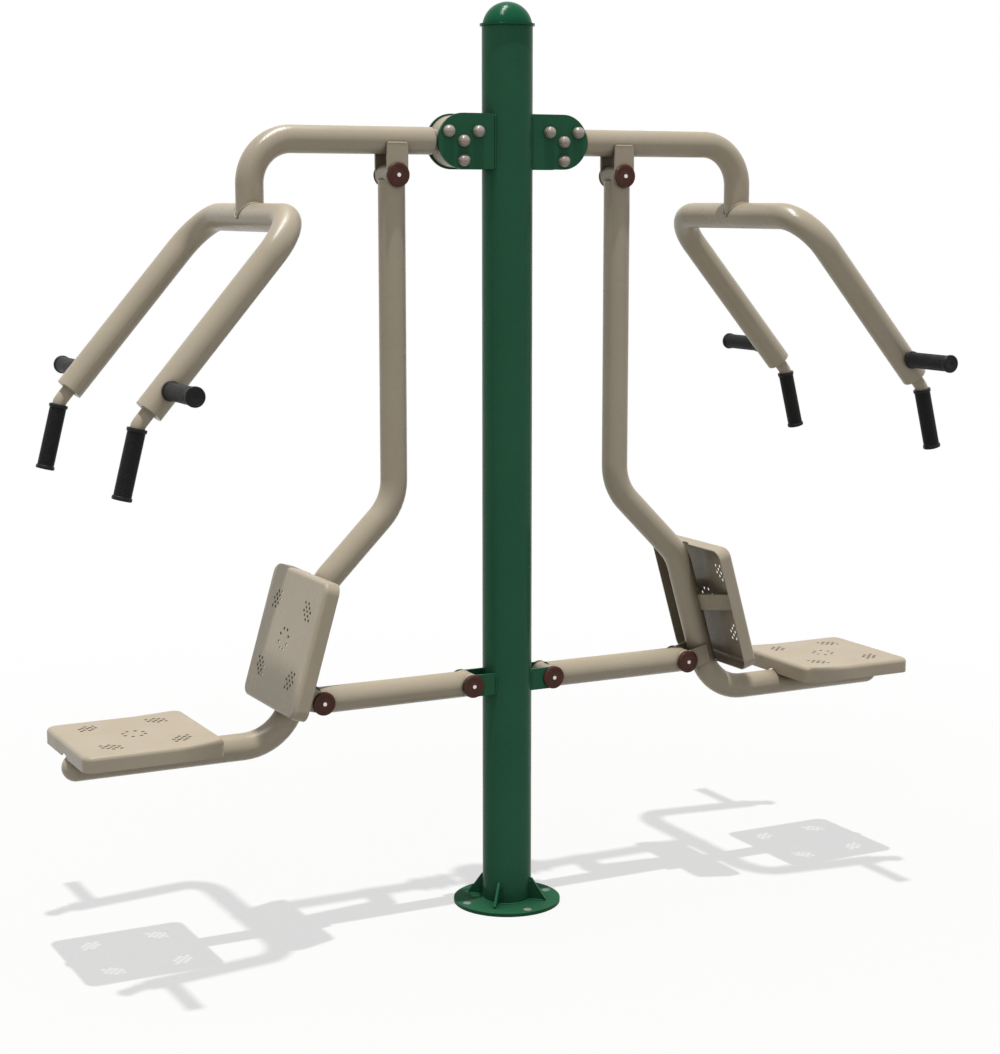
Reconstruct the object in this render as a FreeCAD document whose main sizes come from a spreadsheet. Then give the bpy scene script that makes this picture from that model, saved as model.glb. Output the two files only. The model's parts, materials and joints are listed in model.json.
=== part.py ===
import FreeCAD
import Part
import Sketcher
import math
import os
import types

# A two-person outdoor seated press. The post stands on the origin, +Z is up and the two
# stations reach out along +X and -X. Lengths are millimetres, angles are degrees.
SIZES = {
    # post and its base
    "post_od": 114.0,
    "post_wall": 4.0,
    "post_top": 2016.0,
    "flange_od": 250.0,
    "flange_thick": 8.0,
    "anchor_edge": 20.0,
    "anchor_hole_d": 18.0,
    "gusset_reach": 38.0,
    "gusset_height": 52.0,
    "gusset_toe": 5.0,
    "gusset_thick": 6.0,
    # dome cap of the post
    "dome_rim_od": 123.0,
    "dome_rim_thick": 5.0,
    "dome_od": 111.0,
    "dome_height": 48.0,
    "dome_wall": 3.0,
    "dome_spigot": 25.0,
    "dome_fit": 0.2,
    # upper bracket, where the arm turns
    "arm_pivot_x": 125.6,
    "arm_pivot_drop": 253.0,
    "bracket_gap": 54.0,
    "bracket_plate": 6.0,
    "bracket_end_r": 61.0,
    "bolt_d": 16.0,
    "bolt_circle_r": 42.0,
    "bolt_fit": 0.25,
    "nut_d": 26.5,
    "nut_shoulder": 5.0,
    "nut_height": 18.0,
    "nut_bore": 12.0,
    # arm hub and its stops
    "hub_od": 114.0,
    "hub_side_gap": 1.0,
    "arm_travel": 25.0,
    "buffer_od": 22.0,
    "slot_side_gap": 0.5,
    "slot_end_angle": 0.7,
    # bearings, axles and sleeves of every pivot
    "axle_d": 20.0,
    "bearing_od": 42.0,
    "bearing_width": 12.0,
    "running_gap": 0.05,
    "sleeve_od": 52.0,
    "sleeve_length": 57.0,
    "ear_thick": 5.0,
    "ear_end_r": 25.0,
    "ear_bite": 0.8,
    "stub_d": 9.0,
    "stub_proud": 1.0,
    "pivot_cap_od": 53.0,
    "pivot_cap_thick": 6.0,
    "pivot_cap_bevel": 2.0,
    # tubes of the arm, the seat frame and the link
    "tube_od": 60.0,
    "tube_wall": 4.0,
    # press arm
    "spigot_wall": 5.0,
    "spigot_insert": 45.0,
    "arm_start_gap": 3.4,
    "elbow_r": 95.0,
    "arm_leg_x": 614.0,
    "crossbar_drop": 165.0,
    "top_pivot_x": 284.6,
    "top_pivot_drop": 74.4,
    "arm_ear_drop": 6.0,
    # handlebar
    "handlebar_drop": 49.2,
    "handlebar_leg": 494.0,
    "handlebar_half": 280.0,
    "handlebar_bend_r": 95.0,
    "plug_thick": 6.0,
    # handle rods and grips
    "rod_od": 30.0,
    "knee_distance": 34.0,
    "knee_angle": 26.5,
    "knee_bend_r": 30.0,
    "grip_start": 6.0,
    "grip_length": 145.0,
    "grip_od": 36.0,
    "grip_flange_od": 41.0,
    "grip_flange_width": 8.0,
    "grip_bevel": 1.5,
    "grip_end_wall": 4.0,
    "grip_vent_d": 8.0,
    "side_grip_setback": 55.0,
    "side_grip_gap": 3.0,
    # seat frame
    "frame_top_drop": 10.0,
    "shoulder_z": 969.0,
    "shoulder_angle": 45.0,
    "back_tilt": 16.2,
    "ear_reach": 60.0,
    "frame_ear_end_r": 23.0,
    "frame_bend_r": 120.0,
    "seat_tube_z": 450.0,
    "seat_tube_end": 1026.0,
    "end_plug_insert": 20.0,
    "end_plug_lip": 2.0,
    "end_plug_dome": 28.0,
    # pressed seat and backrest pans
    "pan_length": 306.0,
    "pan_width": 308.0,
    "pan_overlap": 6.0,
    "pan_notch_gap": 2.5,
    "pan_depth": 34.0,
    "pan_sheet": 2.5,
    "pan_corner_r": 24.0,
    "pan_edge_r": 9.0,
    "seat_rise": 4.5,
    "seat_rise_run": 105.0,
    "seat_rise_bend_r": 220.0,
    "seat_centre_x": 897.0,
    "back_centre_up": 119.0,
    "perforation_d": 8.2,
    "perforation_pitch": 17.5,
    "cluster_along": 77.0,
    "cluster_across": 87.0,
    "ring_r": 24.0,
    "bar_width": 40.0,
    "bar_thick": 5.0,
    "bar_inner_height": 8.0,
    "bar_reach": 124.0,
    "bar_shift": 7.0,
    # link between post and seat frame
    "link_pivot_x": 473.4,
    "post_pivot_x": 104.1,
    "link_z": 534.0,
    "link_axle_waist_d": 15.0,
    "waist_end_gap": 0.2,
}

X_AXIS = FreeCAD.Vector(1, 0, 0)
Y_AXIS = FreeCAD.Vector(0, 1, 0)
Z_AXIS = FreeCAD.Vector(0, 0, 1)
BOLT_ANGLES = (30.0, 150.0, 270.0)
GUSSET_ANGLES = (45.0, 135.0, 225.0, 315.0)
RING_HOLES = 8
LONG = 400.0


class Size:
    """A number together with the sheet formula that it comes from."""

    def __init__(self, value, formula):
        self.value = float(value)
        self.formula = formula

    def __add__(self, other):
        return Size(self.value + number(other), f"({self.formula} + {formula(other)})")

    def __radd__(self, other):
        return self + other

    def __sub__(self, other):
        return Size(self.value - number(other), f"({self.formula} - {formula(other)})")

    def __rsub__(self, other):
        return Size(number(other) - self.value, f"({formula(other)} - {self.formula})")

    def __mul__(self, other):
        return Size(self.value * number(other), f"({self.formula} * {formula(other)})")

    def __rmul__(self, other):
        return self * other

    def __truediv__(self, other):
        return Size(self.value / number(other), f"({self.formula} / {formula(other)})")

    def __neg__(self):
        return Size(-self.value, f"(-1 * {self.formula})")


def number(item):
    return item.value if isinstance(item, Size) else float(item)


def formula(item):
    return item.formula if isinstance(item, Size) else repr(float(item))


def sine(angle):
    return Size(math.sin(math.radians(number(angle))), f"sin({formula(angle)} * 1 deg)")


def cosine(angle):
    return Size(math.cos(math.radians(number(angle))), f"cos({formula(angle)} * 1 deg)")


def tangent(angle):
    return Size(math.tan(math.radians(number(angle))), f"tan({formula(angle)} * 1 deg)")


doc = FreeCAD.newDocument("SeatedPress")
sheet = doc.addObject("Spreadsheet::Sheet", "Sizes")
for row, (size_name, size_value) in enumerate(SIZES.items(), start=1):
    sheet.set(f"A{row}", size_name)
    sheet.set(f"B{row}", str(size_value))
    sheet.setAlias(f"B{row}", size_name)
doc.recompute()
d = types.SimpleNamespace(
    **{name: Size(getattr(sheet, name), f"Sizes.{name}") for name in SIZES}
)


def vec(x, y, z=0.0):
    return FreeCAD.Vector(number(x), number(y), number(z))


def bind(obj, prop, size):
    """Sets a property and ties it to its sheet formula."""
    if isinstance(size, Size):
        obj.setExpression(prop, size.formula)
    else:
        setattr(obj, prop, size)


def place(obj, x=0.0, y=0.0, z=0.0, axis=Z_AXIS, angle=0.0):
    """Lays a piece at (x, y, z), turned about an axis through its own origin."""
    turn = FreeCAD.Rotation(axis, number(angle))
    obj.Placement = FreeCAD.Placement(vec(x, y, z), turn)
    for letter, size in zip("xyz", (x, y, z)):
        if isinstance(size, Size):
            obj.setExpression(f"Placement.Base.{letter}", size.formula)
    if isinstance(angle, Size):
        obj.setExpression("Placement.Rotation.Angle", angle.formula)
    return obj


def cylinder(name, radius, length):
    obj = doc.addObject("Part::Cylinder", name)
    bind(obj, "Radius", radius)
    bind(obj, "Height", length)
    return obj


def along_y(obj, x, y, z):
    """Lays a cylinder so that it runs from y towards +Y."""
    return place(obj, x, y, z, -X_AXIS, 90.0)


def along_x(obj, x, y, z):
    """Lays a cylinder so that it runs from x towards +X."""
    return place(obj, x, y, z, Y_AXIS, 90.0)


def cut(name, base, tool):
    obj = doc.addObject("Part::Cut", name)
    obj.Base = base
    obj.Tool = tool
    return obj


def join(name, pieces):
    """Groups separate pieces as one node."""
    obj = doc.addObject("Part::Compound", name)
    obj.Links = pieces
    return obj


def mirror(name, source, normal):
    obj = doc.addObject("Part::Mirroring", name)
    obj.Source = source
    obj.Base = vec(0, 0)
    obj.Normal = normal
    return obj


def front_and_back(name, piece):
    """A piece on the -Y side and its twin on the +Y side."""
    return join(name, [piece, mirror(f"{name}_back", piece, Y_AXIS)])


def both_sides(name, piece):
    """A piece of the +X station and its twin on the -X station."""
    return join(name, [piece, mirror(f"{name}_left", piece, X_AXIS)])


def ring_y(name, outer_r, inner_r, length, x, y, z):
    """A round tube that runs along Y, starting at y."""
    outer = along_y(cylinder(f"{name}_outer", outer_r, length), x, y, z)
    inner = along_y(cylinder(f"{name}_inner", inner_r, length), x, y, z)
    return cut(name, outer, inner)


def ring_x(name, outer_r, inner_r, length, x, y, z):
    """A round tube that runs along X, starting at x."""
    outer = along_x(cylinder(f"{name}_outer", outer_r, length), x, y, z)
    inner = along_x(cylinder(f"{name}_inner", inner_r, length), x, y, z)
    return cut(name, outer, inner)


def bar_y(name, radius, x, z):
    """A long round bar along Y, centred on y = 0, that shapes the end of a tube."""
    return along_y(cylinder(name, radius, LONG), x, -LONG / 2, z)


def new_sketch(body, role, name, offset=0.0):
    sketch = body.newObject("Sketcher::SketchObject", name)
    origin_plane = [item for item in body.Origin.OriginFeatures if item.Role == role][0]
    sketch.AttachmentSupport = [(origin_plane, "")]
    sketch.MapMode = "FlatFace"
    if isinstance(offset, Size):
        sketch.setExpression("AttachmentOffset.Base.z", offset.formula)
    return sketch


def dimension(sketch, kind, reference, size, name):
    """Adds a named dimension and ties it to its sheet formula."""
    index = sketch.addConstraint(Sketcher.Constraint(kind, *reference, number(size)))
    sketch.renameConstraint(index, name)
    if isinstance(size, Size):
        sketch.setExpression(f"Constraints.{name}", size.formula)


def fix_point(sketch, geometry, end, x, y, name):
    """Holds one end of a sketch element at (x, y)."""
    for kind, size, axis, letter in (("DistanceX", x, -2, "x"), ("DistanceY", y, -1, "y")):
        if isinstance(size, Size):
            dimension(sketch, kind, (geometry, end), size, f"{name}_{letter}")
        elif size == 0:
            sketch.addConstraint(Sketcher.Constraint("PointOnObject", geometry, end, axis))
        else:
            dimension(sketch, kind, (geometry, end), size, f"{name}_{letter}")


def arc_about_axis(start, end):
    """The arc between two profile points whose centre lies on the turning axis."""
    a0, r0 = number(start[0]), number(start[1])
    a1, r1 = number(end[0]), number(end[1])
    centre = (a0 * a0 + r0 * r0 - a1 * a1 - r1 * r1) / (2 * (a0 - a1))
    radius = math.hypot(a0 - centre, r0)
    angle0 = math.atan2(r0, a0 - centre)
    angle1 = math.atan2(r1, a1 - centre)
    circle = Part.Circle(vec(centre, 0), Z_AXIS, radius)
    return Part.ArcOfCircle(circle, min(angle0, angle1), max(angle0, angle1)), angle0 < angle1


def draw_profile(sketch, points):
    """A closed outline; a point marked "arc" starts an arc centred on the turning axis."""
    ends = []
    count = len(points)
    for index, point in enumerate(points):
        following = points[(index + 1) % count]
        if len(point) == 3:
            arc, forward = arc_about_axis(point, following)
            geometry = sketch.addGeometry(arc)
            ends.append((geometry, 1, 2) if forward else (geometry, 2, 1))
            sketch.addConstraint(Sketcher.Constraint("PointOnObject", geometry, 3, -1))
        else:
            line = Part.LineSegment(vec(point[0], point[1]), vec(following[0], following[1]))
            geometry = sketch.addGeometry(line)
            ends.append((geometry, 1, 2))
    for index, point in enumerate(points):
        geometry, first, last = ends[index]
        following = ends[(index + 1) % count]
        sketch.addConstraint(
            Sketcher.Constraint("Coincident", geometry, last, following[0], following[1])
        )
        fix_point(sketch, geometry, first, point[0], point[1], f"corner{index}")


def turned(name, points):
    """A lathe part: an outline of (along, radius) points turned about the local X axis."""
    body = doc.addObject("PartDesign::Body", name)
    sketch = new_sketch(body, "XY_Plane", f"{name}_outline")
    draw_profile(sketch, points)
    doc.recompute()
    feature = body.newObject("PartDesign::Revolution", f"{name}_turn")
    feature.Profile = sketch
    feature.ReferenceAxis = (sketch, ["H_Axis"])
    feature.Angle = 360
    return body


def slab(name, role, points, thick):
    """A flat piece: an outline padded to both sides of its plane."""
    body = doc.addObject("PartDesign::Body", name)
    sketch = new_sketch(body, role, f"{name}_outline")
    draw_profile(sketch, points)
    doc.recompute()
    feature = body.newObject("PartDesign::Pad", f"{name}_pad")
    feature.Profile = sketch
    feature.SideType = "Symmetric"
    bind(feature, "Length", thick)
    return body


def strip(name, reach, end_r, thick, holes):
    """A flat plate with a round end at its origin, reaching along local +X, thick towards -Y.

    holes lists (x, z, radius) in the plate's own plane.
    """
    body = doc.addObject("PartDesign::Body", name)
    sketch = new_sketch(body, "XZ_Plane", f"{name}_outline")
    circle = Part.Circle(vec(0, 0), Z_AXIS, number(end_r))
    sketch.addGeometry(Part.ArcOfCircle(circle, math.pi / 2, 1.5 * math.pi))
    corners = [vec(0, -end_r), vec(reach, -end_r), vec(reach, end_r), vec(0, end_r)]
    for start, end in zip(corners, corners[1:]):
        sketch.addGeometry(Part.LineSegment(start, end))
    sketch.addConstraint(Sketcher.Constraint("Coincident", 0, 3, -1, 1))
    sketch.addConstraint(Sketcher.Constraint("Tangent", 0, 2, 1, 1))
    sketch.addConstraint(Sketcher.Constraint("Coincident", 1, 2, 2, 1))
    sketch.addConstraint(Sketcher.Constraint("Coincident", 2, 2, 3, 1))
    sketch.addConstraint(Sketcher.Constraint("Tangent", 3, 2, 0, 1))
    sketch.addConstraint(Sketcher.Constraint("Horizontal", 1))
    sketch.addConstraint(Sketcher.Constraint("Vertical", 2))
    sketch.addConstraint(Sketcher.Constraint("Horizontal", 3))
    dimension(sketch, "Radius", (0,), end_r, "end_r")
    dimension(sketch, "DistanceX", (2, 1), reach, "reach")
    for index, (x, z, radius) in enumerate(holes):
        geometry = sketch.addGeometry(Part.Circle(vec(x, z), Z_AXIS, number(radius)))
        fix_point(sketch, geometry, 3, x, z, f"hole{index}")
        dimension(sketch, "Radius", (geometry,), radius, f"hole{index}_r")
    doc.recompute()
    feature = body.newObject("PartDesign::Pad", f"{name}_pad")
    feature.Profile = sketch
    bind(feature, "Length", thick)
    return body


def draw_path(sketch, corners, bend):
    """Straight runs between corner points, joined by tangent arcs of one bend radius."""
    points = [vec(*corner) for corner in corners]
    radius = number(bend)
    starts = [points[0]]
    arcs = []
    for before, corner, after in zip(points, points[1:], points[2:]):
        come = (corner - before).normalize()
        go = (after - corner).normalize()
        setback = radius * math.tan(come.getAngle(go) / 2)
        arc_start = corner - come * setback
        arc_end = corner + go * setback
        left_turn = come.cross(go).z > 0
        inward = vec(-come.y, come.x) if left_turn else vec(come.y, -come.x)
        centre = arc_start + inward * radius
        first = math.atan2(arc_start.y - centre.y, arc_start.x - centre.x)
        last = math.atan2(arc_end.y - centre.y, arc_end.x - centre.x)
        circle = Part.Circle(centre, Z_AXIS, radius)
        arc = Part.ArcOfCircle(circle, first, last) if left_turn else Part.ArcOfCircle(circle, last, first)
        arcs.append((arc, left_turn))
        starts += [arc_start, arc_end]
    starts.append(points[-1])
    lines = [
        sketch.addGeometry(Part.LineSegment(starts[i], starts[i + 1]))
        for i in range(0, len(starts), 2)
    ]
    fix_point(sketch, lines[0], 1, *corners[0], "start")
    fix_point(sketch, lines[-1], 2, *corners[-1], "finish")
    for index, (arc, left_turn) in enumerate(arcs):
        geometry = sketch.addGeometry(arc)
        enter, leave = (1, 2) if left_turn else (2, 1)
        before, after = lines[index], lines[index + 1]
        sketch.addConstraint(Sketcher.Constraint("Tangent", before, 2, geometry, enter))
        sketch.addConstraint(Sketcher.Constraint("Tangent", geometry, leave, after, 1))
        dimension(sketch, "Radius", (geometry,), bend, f"bend{index}")
        mark = sketch.addGeometry(Part.Point(points[index + 1]), True)
        fix_point(sketch, mark, 1, *corners[index + 1], f"corner{index}")
        sketch.addConstraint(Sketcher.Constraint("PointOnObject", mark, 1, before))
        sketch.addConstraint(Sketcher.Constraint("PointOnObject", mark, 1, after))
    return [f"Edge{index + 1}" for index in range(len(lines) + len(arcs))]


def bent_tube(name, path_role, corners, bend, start_role, outer_r, inner_r=None):
    """A tube, or a rod without inner_r, that follows a bent path in one plane."""
    body = doc.addObject("PartDesign::Body", name)
    path = new_sketch(body, path_role, f"{name}_path")
    edges = draw_path(path, corners, bend)
    first, second = corners[0]
    if start_role == "XY_Plane":
        offset, centre = second, (first, 0.0)
    elif path_role == "XY_Plane":
        offset, centre = first, (second, 0.0)
    else:
        offset, centre = first, (0.0, second)
    section = new_sketch(body, start_role, f"{name}_section", offset)
    radii = [outer_r] if inner_r is None else [outer_r, inner_r]
    for index, radius in enumerate(radii):
        geometry = section.addGeometry(Part.Circle(vec(*centre), Z_AXIS, number(radius)))
        fix_point(section, geometry, 3, *centre, f"centre{index}")
        dimension(section, "Radius", (geometry,), radius, f"radius{index}")
    doc.recompute()
    feature = body.newObject("PartDesign::AdditivePipe", f"{name}_pipe")
    feature.Profile = section
    feature.Spine = (path, edges)
    return body


# Shared fits: every pivot is built from these.
tube_r = d.tube_od / 2
tube_in_r = tube_r - d.tube_wall
post_r = d.post_od / 2
bolt_r = d.bolt_d / 2
axle_r = d.axle_d / 2
stub_r = d.stub_d / 2
sleeve_r = d.sleeve_od / 2
bearing_r = d.bearing_od / 2
bearing_bore_r = axle_r + d.running_gap
ear_inner = tube_r - d.ear_bite
ear_outer = ear_inner + d.ear_thick
plate_inner = d.bracket_gap / 2
plate_outer = plate_inner + d.bracket_plate
hub_half = plate_inner - d.hub_side_gap
sleeve_half = d.sleeve_length / 2
pan_rim = tube_r - d.pan_overlap
arm_pivot_z = d.post_top - d.arm_pivot_drop
top_pivot_z = arm_pivot_z - d.top_pivot_drop
crossbar_z = arm_pivot_z - d.crossbar_drop

nodes = {}


def node(name, obj):
    """Names a finished piece."""
    obj.Label = name
    nodes[name] = obj
    return obj


def bolt_places():
    """Centres of the centre bolt and of the three bolts round it, as (x, z) offsets."""
    places = [(0.0, 0.0)]
    for angle in BOLT_ANGLES:
        x = 0.0 if angle == 270.0 else d.bolt_circle_r * math.cos(math.radians(angle))
        places.append((x, d.bolt_circle_r * math.sin(math.radians(angle))))
    return places


def pivot_cap(name, x, z):
    """A round cap on the -Y side of a pivot, with a hole for the axle's stub."""
    rim = d.pivot_cap_od / 2
    bevel = d.pivot_cap_bevel
    cap = turned(
        name,
        [
            (0.0, stub_r),
            (0.0, rim),
            (d.pivot_cap_thick - bevel, rim),
            (d.pivot_cap_thick, rim - bevel),
            (d.pivot_cap_thick, stub_r),
        ],
    )
    return place(cap, x, -ear_outer, z, -Z_AXIS, 90.0)


def pivot_axle(name, x, z, waist_r=None):
    """An axle through both ears; its thin ends pass through the caps and show at their centres."""
    stub = d.pivot_cap_thick + d.stub_proud
    total = (ear_outer + stub) * 2
    points = [(0.0, 0.0), (0.0, stub_r), (stub, stub_r), (stub, axle_r)]
    if waist_r is not None:
        waist_start = stub + d.ear_thick + d.waist_end_gap
        points += [
            (waist_start, axle_r),
            (waist_start, waist_r),
            (total - waist_start, waist_r),
            (total - waist_start, axle_r),
        ]
    points += [(total - stub, axle_r), (total - stub, stub_r), (total, stub_r), (total, 0.0)]
    return place(turned(name, points), x, -total / 2, z, Z_AXIS, 90.0)


def sleeve_bearings(name, half, x, z):
    """One ball bearing at each end of a sleeve or hub of this half length."""
    bearing = ring_y(f"{name}_front", bearing_r, bearing_bore_r, d.bearing_width, x, -half, z)
    return front_and_back(name, bearing)


def build_post():
    """The post with its base, cap, brackets and the axles that stay with it."""
    outer = place(cylinder("post_outer", post_r, d.post_top - d.flange_thick), z=d.flange_thick)
    inner = place(
        cylinder("post_inner", post_r - d.post_wall, d.post_top - d.flange_thick), z=d.flange_thick
    )
    node("post_tube", cut("post_tube", outer, inner))

    flange = doc.addObject("PartDesign::Body", "base_flange")
    outline = new_sketch(flange, "XY_Plane", "base_flange_outline")
    outline.addGeometry(Part.Circle(vec(0, 0), Z_AXIS, number(d.flange_od / 2)))
    outline.addConstraint(Sketcher.Constraint("Coincident", 0, 3, -1, 1))
    dimension(outline, "Radius", (0,), d.flange_od / 2, "rim")
    anchor_r = d.flange_od / 2 - d.anchor_edge
    anchors = ((anchor_r, 0.0), (0.0, anchor_r), (-anchor_r, 0.0), (0.0, -anchor_r))
    for index, (x, y) in enumerate(anchors):
        hole = outline.addGeometry(Part.Circle(vec(x, y), Z_AXIS, number(d.anchor_hole_d / 2)))
        fix_point(outline, hole, 3, x, y, f"anchor{index}")
        dimension(outline, "Radius", (hole,), d.anchor_hole_d / 2, f"anchor{index}_r")
    doc.recompute()
    pad = flange.newObject("PartDesign::Pad", "base_flange_pad")
    pad.Profile = outline
    bind(pad, "Length", d.flange_thick)
    node("base_flange", flange)

    toe = post_r + d.gusset_reach
    top = d.flange_thick + d.gusset_height
    gussets = []
    for index, angle in enumerate(GUSSET_ANGLES):
        gusset = slab(
            f"gusset{index}",
            "XZ_Plane",
            [
                (post_r / 2, d.flange_thick),
                (toe, d.flange_thick),
                (toe, d.flange_thick + d.gusset_toe),
                (post_r + d.gusset_toe, top),
                (post_r / 2, top),
            ],
            d.gusset_thick,
        )
        gussets.append(place(gusset, angle=angle))
    core = cylinder("post_core", post_r, d.post_top)
    node("base_gussets", cut("base_gussets", join("gusset_group", gussets), core))

    spigot_r = post_r - d.post_wall - d.dome_fit
    seat = d.dome_spigot
    crown = seat + d.dome_rim_thick + d.dome_height
    cap = turned(
        "post_cap",
        [
            (0.0, spigot_r - d.dome_wall),
            (0.0, spigot_r),
            (seat, spigot_r),
            (seat, d.dome_rim_od / 2),
            (seat + d.dome_rim_thick, d.dome_rim_od / 2),
            (seat + d.dome_rim_thick, d.dome_od / 2, "arc"),
            (crown, 0.0),
            (crown - d.dome_wall, 0.0, "arc"),
            (seat + d.dome_rim_thick, spigot_r - d.dome_wall),
        ],
    )
    node("post_cap", place(cap, z=d.post_top - d.dome_spigot, axis=-Y_AXIS, angle=90.0))

    holes = [(-x, -z, bolt_r + d.bolt_fit) for x, z in bolt_places()]
    plate = strip(
        "upper_plate", d.arm_pivot_x - post_r / 2, d.bracket_end_r, d.bracket_plate, holes
    )
    place(plate, d.arm_pivot_x, -plate_inner, arm_pivot_z, Y_AXIS, 180.0)
    plates = both_sides("upper_plate_group", front_and_back("upper_plates", plate))
    node("upper_bracket_plates", cut("upper_bracket_plates", plates, core))

    ear = strip(
        "lower_ear", d.post_pivot_x - post_r / 2, d.ear_end_r, d.ear_thick, [(0.0, 0.0, axle_r)]
    )
    place(ear, d.post_pivot_x, -ear_inner, d.link_z, Y_AXIS, 180.0)
    ears = both_sides("lower_ear_group", front_and_back("lower_ears", ear))
    node("lower_bracket_ears", cut("lower_bracket_ears", ears, core))

    bolts, nuts, buffers = [], [], []
    for index, (dx, dz) in enumerate(bolt_places()):
        x, z = d.arm_pivot_x + dx, arm_pivot_z + dz
        bolt = cylinder(f"bolt{index}", bolt_r, (plate_outer + d.nut_bore) * 2)
        bolts.append(along_y(bolt, x, -(plate_outer + d.nut_bore), z))
        nut = turned(
            f"nut{index}",
            [
                (0.0, bolt_r),
                (0.0, d.nut_d / 2),
                (d.nut_shoulder, d.nut_d / 2, "arc"),
                (d.nut_height, 0.0),
                (d.nut_bore, 0.0),
                (d.nut_bore, bolt_r),
            ],
        )
        nuts.append(place(nut, x, -plate_outer, z, -Z_AXIS, 90.0))
        if index > 0:
            buffers.append(
                ring_y(f"buffer{index}", d.buffer_od / 2, bolt_r, d.bracket_gap, x, -plate_inner, z)
            )
    node("bracket_bolts", both_sides("bracket_bolts", join("bolt_group", bolts)))
    nut_group = front_and_back("nut_pairs", join("nut_group", nuts))
    node("bracket_dome_nuts", both_sides("bracket_dome_nuts", nut_group))
    node("stop_buffers", both_sides("stop_buffers", join("buffer_group", buffers)))

    spacer = ring_y(
        "arm_axle", axle_r, bolt_r, d.bracket_gap, d.arm_pivot_x, -plate_inner, arm_pivot_z
    )
    node("arm_axle_spacers", both_sides("arm_axle_spacers", spacer))

    lower_axle = pivot_axle("lower_axle", d.post_pivot_x, d.link_z)
    node("lower_axles", both_sides("lower_axles", lower_axle))
    lower_cap = front_and_back("lower_caps", pivot_cap("lower_cap", d.post_pivot_x, d.link_z))
    node("lower_axle_caps", both_sides("lower_axle_caps", lower_cap))


def build_hub():
    """The arm's drum: it turns on two bearings and its three slots move past the stop buffers."""
    drum = cylinder("hub_drum", d.hub_od / 2, hub_half * 2)
    slot_half = d.buffer_od / 2 + d.slot_side_gap
    sweep = d.arm_travel + d.slot_end_angle * 2
    tools = [cylinder("hub_bore", bearing_r, hub_half * 2)]
    for index, angle in enumerate(BOLT_ANGLES):
        last = angle + number(d.slot_end_angle)
        first = last - number(sweep)
        band = cylinder(f"slot{index}_band", d.bolt_circle_r + slot_half, hub_half * 2)
        bind(band, "Angle", sweep)
        core = cylinder(f"slot{index}_core", d.bolt_circle_r - slot_half, hub_half * 2)
        curve = cut(f"slot{index}_curve", place(band, angle=first), core)
        tools.append(curve)
        for end, turn in (("first", first), ("last", last)):
            x = d.bolt_circle_r * math.cos(math.radians(turn))
            y = d.bolt_circle_r * math.sin(math.radians(turn))
            tools.append(place(cylinder(f"slot{index}_{end}", slot_half, hub_half * 2), x, y))
    shape = doc.addObject("Part::MultiFuse", "hub_openings")
    shape.Shapes = tools
    hub = cut("arm_hub", drum, shape)
    return place(hub, d.arm_pivot_x, hub_half, arm_pivot_z, X_AXIS, 90.0)


def build_arm():
    """The press arm of the +X station up to the handlebar."""
    arm_start = d.arm_pivot_x + d.bracket_end_r + d.arm_start_gap
    yield "arm_hub", build_hub()
    yield "arm_hub_bearings", sleeve_bearings(
        "arm_hub_bearings", hub_half, d.arm_pivot_x, arm_pivot_z
    )
    spigot_from = d.arm_pivot_x + d.hub_od / 4
    spigot = ring_x(
        "spigot_pipe",
        tube_in_r,
        tube_in_r - d.spigot_wall,
        arm_start + d.spigot_insert - spigot_from,
        spigot_from,
        0.0,
        arm_pivot_z,
    )
    drum = bar_y("spigot_cope", d.hub_od / 2, d.arm_pivot_x, arm_pivot_z)
    yield "arm_spigot", cut("arm_spigot", spigot, drum)
    pipe = bent_tube(
        "arm_pipe",
        "XZ_Plane",
        [(arm_start, arm_pivot_z), (d.arm_leg_x, arm_pivot_z), (d.arm_leg_x, crossbar_z)],
        d.elbow_r,
        "YZ_Plane",
        tube_r,
        tube_in_r,
    )
    crossbar = bar_y("arm_cope", tube_r, d.arm_leg_x, crossbar_z)
    yield "arm_tube", cut("arm_tube", pipe, crossbar)
    ear = strip(
        "arm_ear",
        arm_pivot_z - d.arm_ear_drop - top_pivot_z,
        d.ear_end_r,
        d.ear_thick,
        [(0.0, 0.0, axle_r)],
    )
    place(ear, d.top_pivot_x, -ear_inner, top_pivot_z, -Y_AXIS, 90.0)
    run = cylinder("arm_run", tube_r, d.arm_leg_x - arm_start)
    along_x(run, arm_start, 0.0, arm_pivot_z)
    yield "arm_ears", cut("arm_ears", front_and_back("arm_ear_pair", ear), run)
    yield "top_axle", pivot_axle("top_axle", d.top_pivot_x, top_pivot_z)
    yield "top_axle_caps", front_and_back(
        "top_axle_caps", pivot_cap("top_cap", d.top_pivot_x, top_pivot_z)
    )


def grip(name):
    """A flanged rubber grip along local X, closed but for a vent at its far end."""
    flange_r = d.grip_flange_od / 2
    width, bevel, length = d.grip_flange_width, d.grip_bevel, d.grip_length
    bore_end = length - d.grip_end_wall
    return turned(
        name,
        [
            (0.0, d.rod_od / 2),
            (0.0, flange_r - bevel),
            (bevel, flange_r),
            (width - bevel, flange_r),
            (width, d.grip_od / 2),
            (length - width, d.grip_od / 2),
            (length - width + bevel, flange_r),
            (length - bevel, flange_r),
            (length, flange_r - bevel),
            (length, d.grip_vent_d / 2),
            (bore_end, d.grip_vent_d / 2),
            (bore_end, d.rod_od / 2),
        ],
    )


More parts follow.
